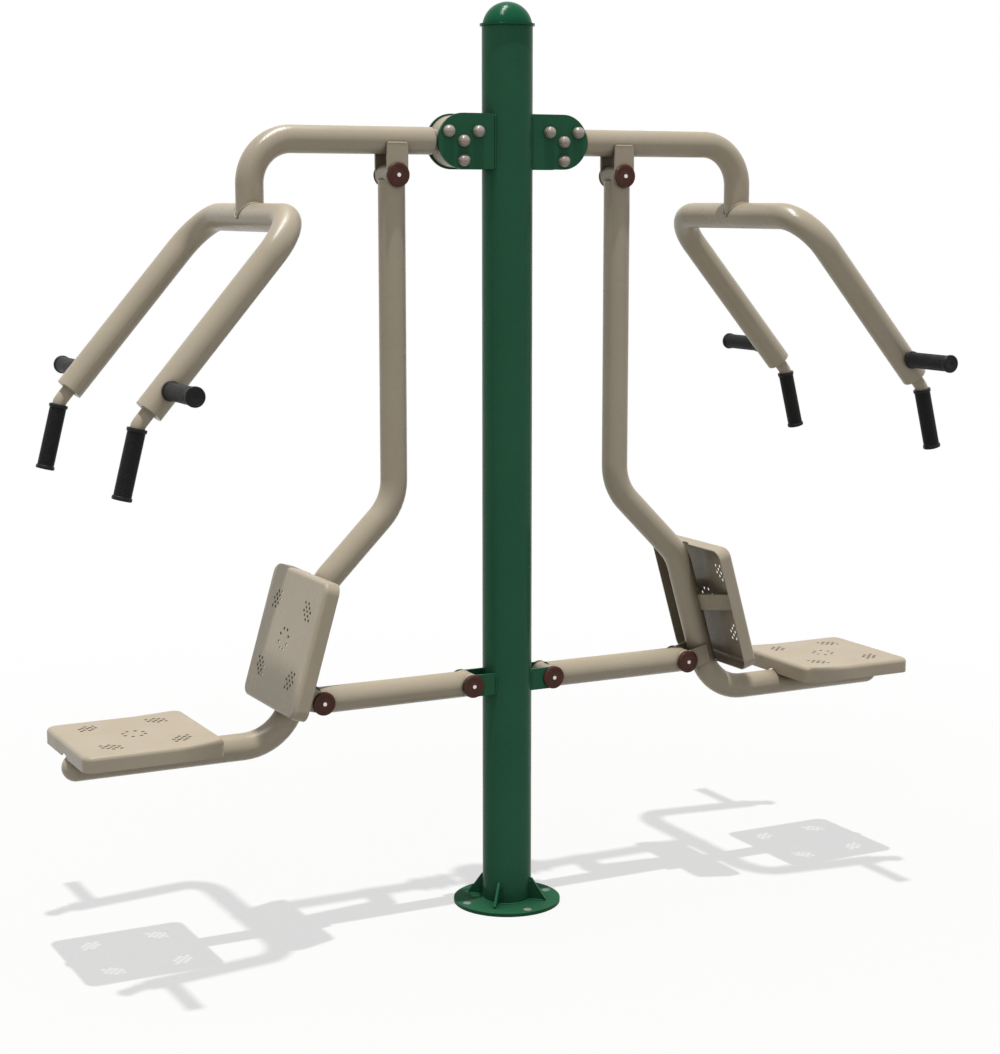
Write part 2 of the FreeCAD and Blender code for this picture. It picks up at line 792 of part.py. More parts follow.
def build_handlebar():
    """The U-shaped bar with its rods and grips, drawn flat and then dropped to its slope."""

    def slope(obj):
        return place(obj, d.arm_leg_x, 0.0, crossbar_z, Y_AXIS, d.handlebar_drop)

    leg, half = d.handlebar_leg, d.handlebar_half
    bar = bent_tube(
        "handlebar",
        "XY_Plane",
        [(leg, -half), (0.0, -half), (0.0, half), (leg, half)],
        d.handlebar_bend_r,
        "YZ_Plane",
        tube_r,
        tube_in_r,
    )
    yield "handlebar", slope(bar)

    plug = along_x(cylinder("leg_plug", tube_in_r, d.plug_thick), leg - d.plug_thick, -half, 0.0)
    yield "handlebar_plugs", slope(front_and_back("handlebar_plugs", plug))

    knee_x = leg + d.knee_distance
    rod_run = d.grip_start + d.grip_length - d.grip_end_wall
    lower_rod = bent_tube(
        "lower_rod",
        "XZ_Plane",
        [
            (leg, 0.0),
            (knee_x, 0.0),
            (knee_x + rod_run * cosine(d.knee_angle), -(rod_run * sine(d.knee_angle))),
        ],
        d.knee_bend_r,
        "YZ_Plane",
        d.rod_od / 2,
    )
    place(lower_rod, y=-half)
    side_x = leg - d.side_grip_setback
    side_start = half + tube_r + d.side_grip_gap
    side_reach = tube_r + d.side_grip_gap + d.grip_length - d.grip_end_wall
    side_bar = cylinder("side_bar", d.rod_od / 2, side_reach)
    along_y(side_bar, side_x, -(half + side_reach), 0.0)
    leg_core = along_x(cylinder("leg_core", tube_r, leg), 0.0, -half, 0.0)
    side_rod = cut("side_rod", side_bar, leg_core)
    rods = front_and_back("handle_rods", join("front_rods", [lower_rod, side_rod]))
    yield "handle_rods", slope(rods)

    lower_grip = place(
        grip("lower_grip"),
        knee_x + d.grip_start * cosine(d.knee_angle),
        -half,
        -(d.grip_start * sine(d.knee_angle)),
        Y_AXIS,
        d.knee_angle,
    )
    side_grip = place(grip("side_grip"), side_x, -side_start, 0.0, -Z_AXIS, 90.0)
    grips = front_and_back("hand_grips", join("front_grips", [lower_grip, side_grip]))
    yield "hand_grips", slope(grips)


def perforations():
    """Hole centres of a pan: a slanted cluster of eleven near each corner and a ring in the middle."""
    half = d.perforation_pitch / 2
    ranks = (-2.0, -1.0, 0.0, 1.0, 2.0)
    staggered = [(row, step) for row in ranks for step in ranks if (row + step) % 2 == 0]
    centres = []
    for along in (-1.0, 1.0):
        for across in (-1.0, 1.0):
            for row, step in staggered:
                # the two holes in line with the pan's middle are left out
                if abs(row * along + step * across) < 4:
                    x = d.cluster_along * along + half * row
                    centres.append((x, d.cluster_across * across + half * step))
    for step in range(RING_HOLES):
        angle = 2 * math.pi * (step + 0.5) / RING_HOLES
        centres.append((d.ring_r * math.cos(angle), d.ring_r * math.sin(angle)))
    return centres


def pan(name, rise=None):
    """A pressed pan, rim down on its local XY plane, perforated and notched where its tube passes.

    With a rise, the top slopes up by that much over the stretch next to its -X end.
    """
    long, depth = d.pan_length / 2, d.pan_depth
    top = [(long, depth), (-long, depth)]
    if rise is not None:
        top = [(long, depth), (d.seat_rise_run - long, depth), (-long, depth + rise)]
    body = doc.addObject("PartDesign::Body", name)
    outline = new_sketch(body, "XZ_Plane", f"{name}_outline")
    draw_path(outline, top, d.seat_rise_bend_r)
    first, last = 0, len(top) - 2
    ends = [vec(*top[-1]), vec(-long, 0), vec(long, 0), vec(*top[0])]
    inner, rim, outer = [
        outline.addGeometry(Part.LineSegment(start, end)) for start, end in zip(ends, ends[1:])
    ]
    for before, after in ((last, inner), (inner, rim), (rim, outer), (outer, first)):
        outline.addConstraint(Sketcher.Constraint("Coincident", before, 2, after, 1))
    fix_point(outline, rim, 1, -long, 0.0, "rim_start")
    fix_point(outline, rim, 2, long, 0.0, "rim_finish")
    doc.recompute()
    blank = body.newObject("PartDesign::Pad", f"{name}_pad")
    blank.Profile = outline
    blank.SideType = "Symmetric"
    bind(blank, "Length", d.pan_width)
    doc.recompute()
    upright = []
    for index, edge in enumerate(blank.Shape.Edges, start=1):
        ends = [vertex.Point for vertex in edge.Vertexes]
        if abs(ends[0].z - ends[1].z) > number(depth) / 2:
            upright.append(f"Edge{index}")
    corners = body.newObject("PartDesign::Fillet", f"{name}_corners")
    corners.Base = (blank, upright)
    bind(corners, "Radius", d.pan_corner_r)
    doc.recompute()
    rim_edges = []
    for index, edge in enumerate(corners.Shape.Edges, start=1):
        box = edge.BoundBox
        inside = box.XLength < 0.01 and abs(box.Center.x) < number(long) - 0.01
        if box.ZMin > number(depth) - 0.01 and not inside:
            rim_edges.append(f"Edge{index}")
    edges = body.newObject("PartDesign::Fillet", f"{name}_edges")
    edges.Base = (corners, rim_edges)
    bind(edges, "Radius", d.pan_edge_r)
    doc.recompute()
    under = [
        f"Face{index}"
        for index, face in enumerate(edges.Shape.Faces, start=1)
        if face.BoundBox.ZMax < 0.01
    ]
    sheet_metal = body.newObject("PartDesign::Thickness", f"{name}_sheet")
    sheet_metal.Base = (edges, under)
    sheet_metal.Reversed = True
    bind(sheet_metal, "Value", d.pan_sheet)
    doc.recompute()
    holes = new_sketch(body, "XY_Plane", f"{name}_holes")
    radius = d.perforation_d / 2
    for index, (x, y) in enumerate(perforations()):
        geometry = holes.addGeometry(Part.Circle(vec(x, y), Z_AXIS, number(radius)))
        fix_point(holes, geometry, 3, x, y, f"centre{index}")
        if index == 0:
            dimension(holes, "Radius", (0,), radius, "hole_r")
        else:
            holes.addConstraint(Sketcher.Constraint("Equal", 0, geometry))
    doc.recompute()
    pocket = body.newObject("PartDesign::Pocket", f"{name}_perforation")
    pocket.Profile = holes
    pocket.Type = "ThroughAll"
    pocket.Reversed = True
    doc.recompute()
    if pocket.Shape.Volume > sheet_metal.Shape.Volume - 1.0:
        raise RuntimeError(f"{name}: the perforations cut nothing")
    notch = along_x(cylinder(f"{name}_notch", tube_r + d.pan_notch_gap, LONG), -LONG / 2, 0.0, -pan_rim)
    return cut(f"{name}_notched", body, notch)


def pan_bars(name):
    """Two flat bars that rise from the sides of a tube to the underside of its pan."""
    inner, reach = tube_r / 2, d.bar_reach
    low, thick = d.bar_inner_height, d.bar_thick
    underside = pan_rim + d.pan_depth - d.pan_sheet
    slope = (underside - low) / (reach - inner)
    bar = slab(
        f"{name}_bar",
        "YZ_Plane",
        [
            (-inner, low),
            (-inner, low + thick),
            (-(reach - thick / slope), underside),
            (-reach, underside),
        ],
        d.bar_width,
    )
    place(bar, -d.bar_shift)
    tube = along_x(cylinder(f"{name}_tube", tube_r, LONG), -LONG / 2, 0.0, 0.0)
    return cut(name, front_and_back(f"{name}_pair", bar), tube)


def build_frame():
    """The seat frame of the +X station: it hangs from the arm and carries seat and backrest."""
    tilt = d.back_tilt
    foot_x = d.link_pivot_x + d.ear_reach * cosine(tilt)
    foot_z = d.link_z + d.ear_reach * sine(tilt)
    back_slope, shoulder_slope = tangent(tilt), tangent(d.shoulder_angle)
    knee_z = (
        d.top_pivot_x + d.shoulder_z * shoulder_slope - foot_x - foot_z * back_slope
    ) / (shoulder_slope - back_slope)
    knee_x = foot_x + (foot_z - knee_z) * back_slope
    corner_x = foot_x + (foot_z - d.seat_tube_z) * back_slope
    corners = [
        (d.top_pivot_x, top_pivot_z - d.frame_top_drop),
        (d.top_pivot_x, d.shoulder_z),
        (knee_x, knee_z),
        (corner_x, d.seat_tube_z),
        (d.seat_tube_end, d.seat_tube_z),
    ]
    path = ("XZ_Plane", corners, d.frame_bend_r, "XY_Plane", tube_r)
    pipe = bent_tube("frame_pipe", *path, tube_in_r)
    core = bent_tube("frame_core", *path)
    cope = bar_y("frame_cope", sleeve_r, d.top_pivot_x, top_pivot_z)
    yield "frame_tube", cut("frame_tube", pipe, cope)
    yield "top_sleeve", ring_y(
        "top_sleeve", sleeve_r, bearing_r, d.sleeve_length, d.top_pivot_x, -sleeve_half, top_pivot_z
    )
    yield "top_bearings", sleeve_bearings(
        "top_bearings", sleeve_half, d.top_pivot_x, top_pivot_z
    )
    insert = d.end_plug_insert
    plug = turned(
        "frame_end_plug",
        [
            (0.0, 0.0),
            (0.0, tube_in_r),
            (insert, tube_in_r),
            (insert, tube_r),
            (insert + d.end_plug_lip, tube_r, "arc"),
            (insert + d.end_plug_lip + d.end_plug_dome, 0.0),
        ],
    )
    yield "frame_end_plug", place(plug, d.seat_tube_end - insert, 0.0, d.seat_tube_z)
    ear = strip("frame_ear", d.ear_reach, d.frame_ear_end_r, d.ear_thick, [(0.0, 0.0, axle_r)])
    place(ear, d.link_pivot_x, -ear_inner, d.link_z, -Y_AXIS, tilt)
    yield "frame_ears", cut("frame_ears", front_and_back("frame_ear_pair", ear), core)
    yield "link_axle", pivot_axle(
        "link_axle", d.link_pivot_x, d.link_z, d.link_axle_waist_d / 2
    )
    yield "link_axle_caps", front_and_back(
        "link_axle_caps", pivot_cap("link_cap", d.link_pivot_x, d.link_z)
    )

    lean = 90.0 - tilt
    back_x = foot_x - d.back_centre_up * sine(tilt)
    back_z = foot_z + d.back_centre_up * cosine(tilt)
    seat_bars = place(pan_bars("seat_bars"), d.seat_centre_x, 0.0, d.seat_tube_z)
    back_bars = place(pan_bars("back_bars"), back_x, 0.0, back_z, Y_AXIS, lean)
    yield "pan_bars", join("pan_bars", [seat_bars, back_bars])
    yield "seat_pan", place(pan("seat_pan", d.seat_rise), d.seat_centre_x, 0.0, d.seat_tube_z + pan_rim)
    rim_x, rim_z = back_x + pan_rim * cosine(tilt), back_z + pan_rim * sine(tilt)
    yield "backrest_pan", place(pan("backrest_pan"), rim_x, 0.0, rim_z, Y_AXIS, lean)


def build_link():
    """The level link of the +X station between the post's ears and the seat frame's ears."""
    pipe = ring_x(
        "link_pipe", tube_r, tube_in_r, d.link_pivot_x - d.post_pivot_x, d.post_pivot_x, 0.0, d.link_z
    )
    ends = join(
        "link_copes",
        [
            bar_y("link_cope_post", sleeve_r, d.post_pivot_x, d.link_z),
            bar_y("link_cope_seat", sleeve_r, d.link_pivot_x, d.link_z),
        ],
    )
    yield "link_tube", cut("link_tube", pipe, ends)
    sleeves, bearings = [], []
    for end, x in (("post", d.post_pivot_x), ("seat", d.link_pivot_x)):
        sleeves.append(
            ring_y(f"{end}_sleeve", sleeve_r, bearing_r, d.sleeve_length, x, -sleeve_half, d.link_z)
        )
        bearings.append(sleeve_bearings(f"{end}_bearings", sleeve_half, x, d.link_z))
    yield "link_sleeves", join("link_sleeves", sleeves)
    yield "link_bearings", join("link_bearings", bearings)


def build_stations():
    """Names the +X station's pieces and mirrors each one for the -X station."""
    for build in (build_arm, build_handlebar, build_frame, build_link):
        for name, piece in build():
            node(f"right_{name}", piece)
            node(f"left_{name}", mirror(f"left_{name}", piece, X_AXIS))


def write_nodes():
    """Checks every object of the document and writes one file per node."""
    doc.recompute()
    for obj in doc.Objects:
        if "Invalid" in obj.State or "Error" in obj.State:
            raise RuntimeError(f"{obj.Name}: {obj.State}")
    for name, obj in nodes.items():
        if obj.Shape.isNull() or not obj.Shape.isValid() or not obj.Shape.Solids:
            raise RuntimeError(f"{name}: no valid solid")
    os.makedirs("parts", exist_ok=True)
    for name, obj in nodes.items():
        solids = obj.Shape.Solids
        shape = solids[0] if len(solids) == 1 else Part.makeCompound(solids)
        shape.exportStep(f"parts/{name}.step")
        print(f"{name}: {len(solids)} solid(s), {shape.Volume / 1000:.1f} cm3")
    print(f"{len(nodes)} nodes")


build_post()
build_stations()
write_nodes()
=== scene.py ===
"""Looks of an outdoor seated press machine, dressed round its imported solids.

Every solid keeps its shape and gets a finish. The plain grips and pivot caps give way to moulded ones, weld
beads are laid where plates, tubes and rods meet, and a plain studio shows the machine from its front left.
Lengths are in metres and angles in degrees. What comes twice or four times is written down once, for the
right station's front face, and carried over to the others.
"""

import json
import logging
import math
from dataclasses import dataclass, replace
from enum import Enum

import bpy
from mathutils import Euler, Matrix, Vector


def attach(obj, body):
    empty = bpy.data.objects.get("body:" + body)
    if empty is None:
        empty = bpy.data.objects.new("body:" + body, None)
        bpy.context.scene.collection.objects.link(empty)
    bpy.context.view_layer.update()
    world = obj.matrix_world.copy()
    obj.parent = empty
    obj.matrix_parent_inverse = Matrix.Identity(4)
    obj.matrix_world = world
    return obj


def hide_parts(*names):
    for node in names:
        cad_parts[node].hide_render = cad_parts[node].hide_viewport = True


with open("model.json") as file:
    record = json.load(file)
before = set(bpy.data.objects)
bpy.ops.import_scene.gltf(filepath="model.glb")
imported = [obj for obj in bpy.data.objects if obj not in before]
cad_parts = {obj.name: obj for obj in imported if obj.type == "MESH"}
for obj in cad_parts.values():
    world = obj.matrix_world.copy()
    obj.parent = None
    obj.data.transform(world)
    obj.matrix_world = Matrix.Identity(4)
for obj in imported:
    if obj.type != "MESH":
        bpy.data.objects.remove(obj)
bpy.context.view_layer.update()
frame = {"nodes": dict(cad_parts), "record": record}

log = logging.getLogger("press_machine")

Band = tuple[float, float]
Colour = tuple[float, float, float, float]
Ring = tuple[float, float]
Socket = bpy.types.NodeSocket

UP = Vector((0.0, 0.0, 1.0))
RIGHTWARD = Vector((1.0, 0.0, 0.0))
FRONTWARD = Vector((0.0, -1.0, 0.0))
WHITE: Colour = (1.0, 1.0, 1.0, 1.0)
# Edges sharper than this stay sharp, and points of a turned piece closer than this become one.
SMOOTH_ANGLE = math.radians(38.0)
MERGE_REACH = 0.000005


class Side(Enum):
    """The two stations, named as they stand in the main view."""

    RIGHT = 1
    LEFT = -1

    @property
    def label(self) -> str:
        """The prefix of this station's node names."""
        return self.name.lower()

    def carry(self, point: Vector) -> Vector:
        """Carries a point or direction of the right station over to this one."""
        return Vector((point.x * self.value, point.y, point.z))


class Face(Enum):
    """The two faces of the machine."""

    FRONT = -1
    BACK = 1

    def carry(self, point: Vector) -> Vector:
        """Carries a point or direction of the front face over to this one."""
        return Vector((point.x, -point.y * self.value, point.z))


class Pick(Enum):
    """The kinds of mesh element that can be picked for editing, in Blender's order."""

    VERT = 0
    EDGE = 1
    FACE = 2


def tint(code: str) -> Colour:
    """Turns a hex colour as seen on screen into shader values, by the sRGB curve.

    Args:
        code: Six hex digits, such as "24503c".

    Returns:
        The linear colour with full alpha.
    """
    shades = [int(code[start:start + 2], 16) / 255.0 for start in (0, 2, 4)]
    linear = [s / 12.92 if s <= 0.04045 else ((s + 0.055) / 1.055) ** 2.4 for s in shades]
    return (linear[0], linear[1], linear[2], 1.0)


@dataclass(frozen=True)
class Pattern:
    """A cloudy pattern: clouds per metre, finer layers, the greys in use and any stretch along the axes."""

    scale: float
    detail: float
    band: Band = (0.0, 1.0)
    stretch: Vector | None = None


class NodeBoard:
    """A node tree, filled one node at a time."""

    def __init__(self, tree: bpy.types.NodeTree) -> None:
        """Takes on a tree."""
        self.tree = tree

    def feed(self, socket: Socket, value: object) -> None:
        """Links a socket into an input, or sets the input to a value.

        Args:
            socket: The input.
            value: Another node's output, or a plain value.
        """
        if isinstance(value, Socket):
            self.tree.links.new(value, socket)
        else:
            socket.default_value = value

    def add(self, kind: str, inputs: dict, **settings: object) -> bpy.types.Node:
        """Adds a node.

        Args:
            kind: The node's type name.
            inputs: Values or sockets for its inputs, by name or number.
            **settings: Properties of the node itself.

        Returns:
            The new node.
        """
        made = self.tree.nodes.new(kind)
        for key, value in settings.items():
            setattr(made, key, value)
        for key, value in inputs.items():
            self.feed(made.inputs[key], value)
        return made

    def reckon(self, operation: str, first: Socket, second: object) -> Socket:
        """Works out one value from two by a math node's operation."""
        return self.add("ShaderNodeMath", {0: first, 1: second}, operation=operation).outputs[0]

    def times(self, first: Socket, second: object) -> Socket:
        """Multiplies two values."""
        return self.reckon("MULTIPLY", first, second)

    def plus(self, first: Socket, second: object) -> Socket:
        """Adds two values."""
        return self.reckon("ADD", first, second)

    def span(self, value: Socket, band: Band, low: float, high: float) -> Socket:
        """Maps a value's band onto low to high, and holds it there."""
        inputs = {"Value": value, "From Min": band[0], "From Max": band[1], "To Min": low, "To Max": high}
        return self.add("ShaderNodeMapRange", inputs).outputs["Result"]

    def seen(self) -> Socket:
        """A mask that is 1 for what the camera sees, straight on or mirrored."""
        rays = self.add("ShaderNodeLightPath", {}).outputs
        return self.reckon("MAXIMUM", rays["Is Camera Ray"], rays["Is Glossy Ray"])


class PaintBoard(NodeBoard):
    """A material's node tree, with a principled shader and object coordinates."""

    EDGE_SAMPLES = 4
    EDGE_BAND: Band = (0.985, 0.86)
    UPWARD_BAND: Band = (0.55, 1.0)
    HOLLOW_SAMPLES = 8
    HOLLOW_BAND: Band = (0.30, 0.90)

    def __init__(self, name: str) -> None:
        """Starts a material.

        Args:
            name: The material's name.
        """
        self.material = bpy.data.materials.new(name)
        self.material.use_nodes = True
        super().__init__(self.material.node_tree)
        self.shader = self.tree.nodes["Principled BSDF"]
        spot = self.add("ShaderNodeTexCoord", {}).outputs
        self.place = spot["Object"]
        self.facing = spot["Normal"]

    def noise(self, pattern: Pattern) -> Socket:
        """Adds a cloudy pattern in object space.

        Args:
            pattern: The pattern.

        Returns:
            The pattern's grey value.
        """
        place = self.place
        if pattern.stretch is not None:
            stretched = self.add("ShaderNodeMapping", {"Vector": place, "Scale": pattern.stretch})
            place = stretched.outputs["Vector"]
        inputs = {"Vector": place, "Scale": pattern.scale, "Detail": pattern.detail}
        return self.add("ShaderNodeTexNoise", inputs).outputs["Fac"]

    def clouds(self, pattern: Pattern, low: float, high: float) -> Socket:
        """Adds a cloudy pattern whose greys in use run from low to high."""
        return self.span(self.noise(pattern), pattern.band, low, high)

    def mix(self, share: Socket, first: object, second: object) -> Socket:
        """Mixes two colours.

        Args:
            share: How much of the second colour shows.
            first: The ground colour.
            second: The colour laid over it.

        Returns:
            The mixed colour.
        """
        inputs = {"Factor": share, 6: first, 7: second}
        return self.add("ShaderNodeMix", inputs, data_type="RGBA").outputs[2]

    def edges(self, radius: float) -> tuple[Socket, Socket]:
        """Rounds the sharp edges and finds them.

        Args:
            radius: The edges' rounding, in metres.

        Returns:
            The rounded normal, and a mask that is 1 on the edges.
        """
        bevel = self.add("ShaderNodeBevel", {"Radius": radius}, samples=self.EDGE_SAMPLES)
        rounded = bevel.outputs["Normal"]
        plain = self.add("ShaderNodeNewGeometry", {}).outputs["Normal"]
        alike = self.add("ShaderNodeVectorMath", {0: rounded, 1: plain}, operation="DOT_PRODUCT")
        return rounded, self.span(alike.outputs["Value"], self.EDGE_BAND, 0.0, 1.0)

    def bump(self, height: Socket, depth: float, normal: Socket) -> Socket:
        """Raises a pattern on the surface.

        Args:
            height: The pattern.
            depth: The pattern's depth in metres.
            normal: The surface normal it starts from.

        Returns:
            The new normal.
        """
        inputs = {"Height": height, "Distance": depth, "Normal": normal}
        return self.add("ShaderNodeBump", inputs).outputs["Normal"]

    def upward(self) -> Socket:
        """A mask of the faces that look up, where dust settles."""
        rise = self.add("ShaderNodeSeparateXYZ", {0: self.facing}).outputs["Z"]
        return self.span(rise, self.UPWARD_BAND, 0.0, 1.0)

    def hollows(self, reach: float) -> Socket:
        """Finds corners and hollows, which get dirt and painted shade.

        Args:
            reach: How far off a neighbour still shelters the surface, in metres.

        Returns:
            A mask that is 1 deep in a hollow.
        """
        # The occlusion picks where shade is painted into the colour, along with dirt.
        shelter = self.add("ShaderNodeAmbientOcclusion", {"Distance": reach}, samples=self.HOLLOW_SAMPLES)
        return self.span(shelter.outputs["AO"], self.HOLLOW_BAND, 1.0, 0.0)

    def shade(self, **inputs: object) -> bpy.types.Material:
        """Fills the principled shader.

        Args:
            **inputs: Values or sockets by input name, with _ for a space.

        Returns:
            The finished material.
        """
        for name, value in inputs.items():
            self.feed(self.shader.inputs[name.replace("_", " ")], value)
        return self.material


# The patterns that colour, roughen and raise the finishes.
PAINT_CLOUDS = Pattern(6.0, 4.0, (0.35, 0.70))
PAINT_SPECKS = Pattern(190.0, 3.0, (0.42, 0.62))
PAINT_SMEARS = Pattern(15.0, 5.0, (0.30, 0.75))
ORANGE_PEEL = Pattern(430.0, 1.0)
DUST_PATCHES = Pattern(26.0, 5.0, (0.30, 0.80))
CHIPPED_RIM = Pattern(240.0, 2.0)
MOULD_CLOUDS = Pattern(38.0, 5.0, (0.40, 0.72))
MOULD_SMEARS = Pattern(60.0, 4.0, (0.30, 0.75))
MOULD_GRAIN = Pattern(900.0, 3.0, (0.40, 0.65))
GRIP_GRAIN = replace(MOULD_GRAIN, scale=1400.0)
STEEL_CLOUDS = Pattern(55.0, 4.0, (0.40, 0.75))
STEEL_MARKS = Pattern(90.0, 3.0, (0.3, 0.7), Vector((1.0, 14.0, 1.0)))


@dataclass(frozen=True)
class PowderCoat:
    """Powder coat on steel: faint clouds, orange peel, dust on top, dirt and painted shade in hollows, edges
    rubbed pale.
    """

    name: str
    colour: Colour
    deep: Colour
    rubbed: Colour
    dust: Colour
    # Dark colour laid into hollows and near other parts: dirt, and painted shade where light is blocked.
    dirt_and_shade: Colour
    gloss: float = 0.30
    smear: Band = (-0.05, 0.09)
    shine: float = 0.22
    cloud_share: float = 0.55
    wear: float = 0.40
    edge_radius: float = 0.0012
    dust_share: float = 0.10
    dryness: float = 0.15
    dirt_and_shade_share: float = 0.80
    dirt_and_shade_reach: float = 0.15
    peel_depth: float = 0.000035

    def material(self) -> bpy.types.Material:
        """Builds the paint's material.

        Returns:
            The material.
        """
        board = PaintBoard(self.name)
        rounded, edge = board.edges(self.edge_radius)
        upward = board.upward()
        settled = board.times(upward, board.clouds(DUST_PATCHES, 0.0, self.dust_share))
        # Painted shade and dirt: corners, hollows and spots near other parts are darkened towards the dark
        # colour.
        shaded_and_dirty = board.times(board.hollows(self.dirt_and_shade_reach), self.dirt_and_shade_share)
        worn = board.times(edge, board.clouds(PAINT_SPECKS, 0.0, self.wear))
        painted = board.mix(board.clouds(PAINT_CLOUDS, 0.0, self.cloud_share), self.colour, self.deep)
        dusty = board.mix(settled, painted, self.dust)
        dirty_and_shaded = board.mix(shaded_and_dirty, dusty, self.dirt_and_shade)
        base = self.chip(board, board.mix(worn, dirty_and_shaded, self.rubbed))
        smeared = board.clouds(PAINT_SMEARS, *(self.gloss + step for step in self.smear))
        rough = board.plus(smeared, board.times(upward, self.dryness))
        normal = board.bump(board.noise(ORANGE_PEEL), self.peel_depth, rounded)
        return board.shade(Base_Color=base, Roughness=rough, Normal=normal, Specular_IOR_Level=self.shine)

    def chip(self, board: PaintBoard, paint: Socket) -> Socket:
        """Leaves the paint whole; a coat that is chipped somewhere says where."""
        return paint


@dataclass(frozen=True)
class FlangeCoat(PowderCoat):
    """The powder coat of the base flange, chipped to bright zinc in and round its four anchor holes."""

    zinc: Colour = tint("e6e8e4")
    hole_circle_r: float = 0.105
    hole_r: float = 0.009
    chipped: float = 0.0003

    def chip(self, board: PaintBoard, paint: Socket) -> Socket:
        """Bares the zinc at the anchor holes, which stand on the X and Y axes.

        Args:
            board: The material's node board.
            paint: The whole paint's colour.

        Returns:
            The colour with the holes' bare walls and rims.
        """
        spot = board.add("ShaderNodeVectorMath", {0: board.place}, operation="ABSOLUTE").outputs["Vector"]
        axes = board.add("ShaderNodeSeparateXYZ", {0: spot}).outputs
        along = board.reckon("MAXIMUM", axes["X"], axes["Y"])
        across = board.reckon("MINIMUM", axes["X"], axes["Y"])
        folded = board.add("ShaderNodeCombineXYZ", {"X": along, "Y": across}).outputs[0]
        centre = (self.hole_circle_r, 0.0, 0.0)
        off = board.add("ShaderNodeVectorMath", {0: folded, 1: centre}, operation="DISTANCE").outputs["Value"]
        ragged = board.plus(off, board.times(board.noise(CHIPPED_RIM), self.chipped))
        edge = self.hole_r + self.chipped
        return board.mix(board.span(ragged, (edge, edge + self.chipped), 1.0, 0.0), paint, self.zinc)


@dataclass(frozen=True)
class Moulding:
    """Grained plastic or rubber, paler and drier where it is handled or dusty."""

    name: str
    colour: Colour
    bloom: Colour
    roughness: float
    grain: Pattern
    grain_depth: float
    smear: Band = (-0.06, 0.08)
    shine: float = 0.25
    cloud_share: float = 0.35
    wear: Band = (0.10, 0.45)
    edge_radius: float = 0.0006

    def material(self) -> bpy.types.Material:
        """Builds the moulding's material.

        Returns:
            The material.
        """
        board = PaintBoard(self.name)
        rounded, edge = board.edges(self.edge_radius)
        grain = board.noise(self.grain)
        worn = board.times(edge, board.span(grain, self.grain.band, *self.wear))
        cloudy = board.mix(board.clouds(MOULD_CLOUDS, 0.0, self.cloud_share), self.colour, self.bloom)
        base = board.mix(worn, cloudy, self.bloom)
        rough = board.clouds(MOULD_SMEARS, *(self.roughness + step for step in self.smear))
        normal = board.bump(grain, self.grain_depth, rounded)
        return board.shade(Base_Color=base, Roughness=rough, Normal=normal, Specular_IOR_Level=self.shine)


@dataclass(frozen=True)
class TurnedSteel:
    """Bare or plated steel with fine tool marks along the machine's depth."""

    name: str
    colour: Colour
    tarnish: Colour
    roughness: float
    smear: Band = (-0.07, 0.10)
    cloud_share: float = 0.6
    wear: float = 0.5
    edge_radius: float = 0.0005
    mark_depth: float = 0.00002

    def material(self) -> bpy.types.Material:
        """Builds the steel's material.

        Returns:
            The material.
        """
        board = PaintBoard(self.name)
        rounded, edge = board.edges(self.edge_radius)
        marks = board.noise(STEEL_MARKS)
        cloudy = board.mix(board.clouds(STEEL_CLOUDS, 0.0, self.cloud_share), self.colour, self.tarnish)
        base = board.mix(board.times(edge, self.wear), cloudy, self.colour)
        rough = board.span(marks, STEEL_MARKS.band, *(self.roughness + step for step in self.smear))
        normal = board.bump(marks, self.mark_depth, rounded)
        return board.shade(Base_Color=base, Metallic=1.0, Roughness=rough, Normal=normal)


GREEN = PowderCoat(
    "green_powder_coat",
    colour=tint("346d50"),
    deep=tint("2d6447"),
    rubbed=tint("4d8a6b"),
    dust=tint("5f7464"),
    # Dark green painted into hollows: dirt and painted shade.
    dirt_and_shade=tint("143d29"),
    gloss=0.25,
    shine=0.06,
    dust_share=0.03,
    dryness=0.05,
)
GREEN_DOME = replace(
    GREEN,
    name="green_dome_coat",
    colour=tint("1d6745"),
    deep=tint("195d3d"),
    dust_share=0.0,
)
GREEN_FLANGE = FlangeCoat(
    "green_flange_coat",
    colour=tint("2a6546"),
    deep=tint("245b3e"),
    rubbed=GREEN.rubbed,
    dust=GREEN.dust,
    # The same dark green, painted into hollows as dirt and painted shade.
    dirt_and_shade=GREEN.dirt_and_shade,
    gloss=0.40,
    shine=0.08,
    dryness=0.30,
)
TAUPE = PowderCoat(
    "taupe_powder_coat",
    colour=tint("c4b8a2"),
    deep=tint("bbae98"),
    rubbed=tint("d6ccba"),
    dust=tint("c5a986"),
    # Dark brown painted into hollows: dirt and painted shade.
    dirt_and_shade=tint("5a4f41"),
    gloss=0.28,
    shine=0.24,
    dust_share=0.40,
)
NUT_COVER = PowderCoat(
    "nut_cover_coat",
    colour=tint("bdafa4"),
    deep=tint("b0a297"),
    rubbed=tint("d4c8be"),
    dust=tint("cdc3b8"),
    # Dark grey painted into hollows: dirt and painted shade.
    dirt_and_shade=tint("857b73"),
    gloss=0.22,
    shine=0.35,
)
CAP_PLASTIC = Moulding(
    "brown_cap_plastic",
    colour=tint("50291d"),
    bloom=tint("6a4436"),
    roughness=0.40,
    grain=MOULD_GRAIN,
    grain_depth=0.00004,
)
GRIP_RUBBER = Moulding(
    "black_grip_rubber",
    colour=tint("242424"),
    bloom=tint("2f2f2e"),
    roughness=0.42,
    grain=GRIP_GRAIN,
    grain_depth=0.00008,
    shine=0.14,
)
BUFFER_RUBBER = Moulding(
    "buffer_rubber",
    colour=tint("171717"),
    bloom=tint("292827"),
    roughness=0.72,
    grain=MOULD_GRAIN,
    grain_depth=0.00006,
)
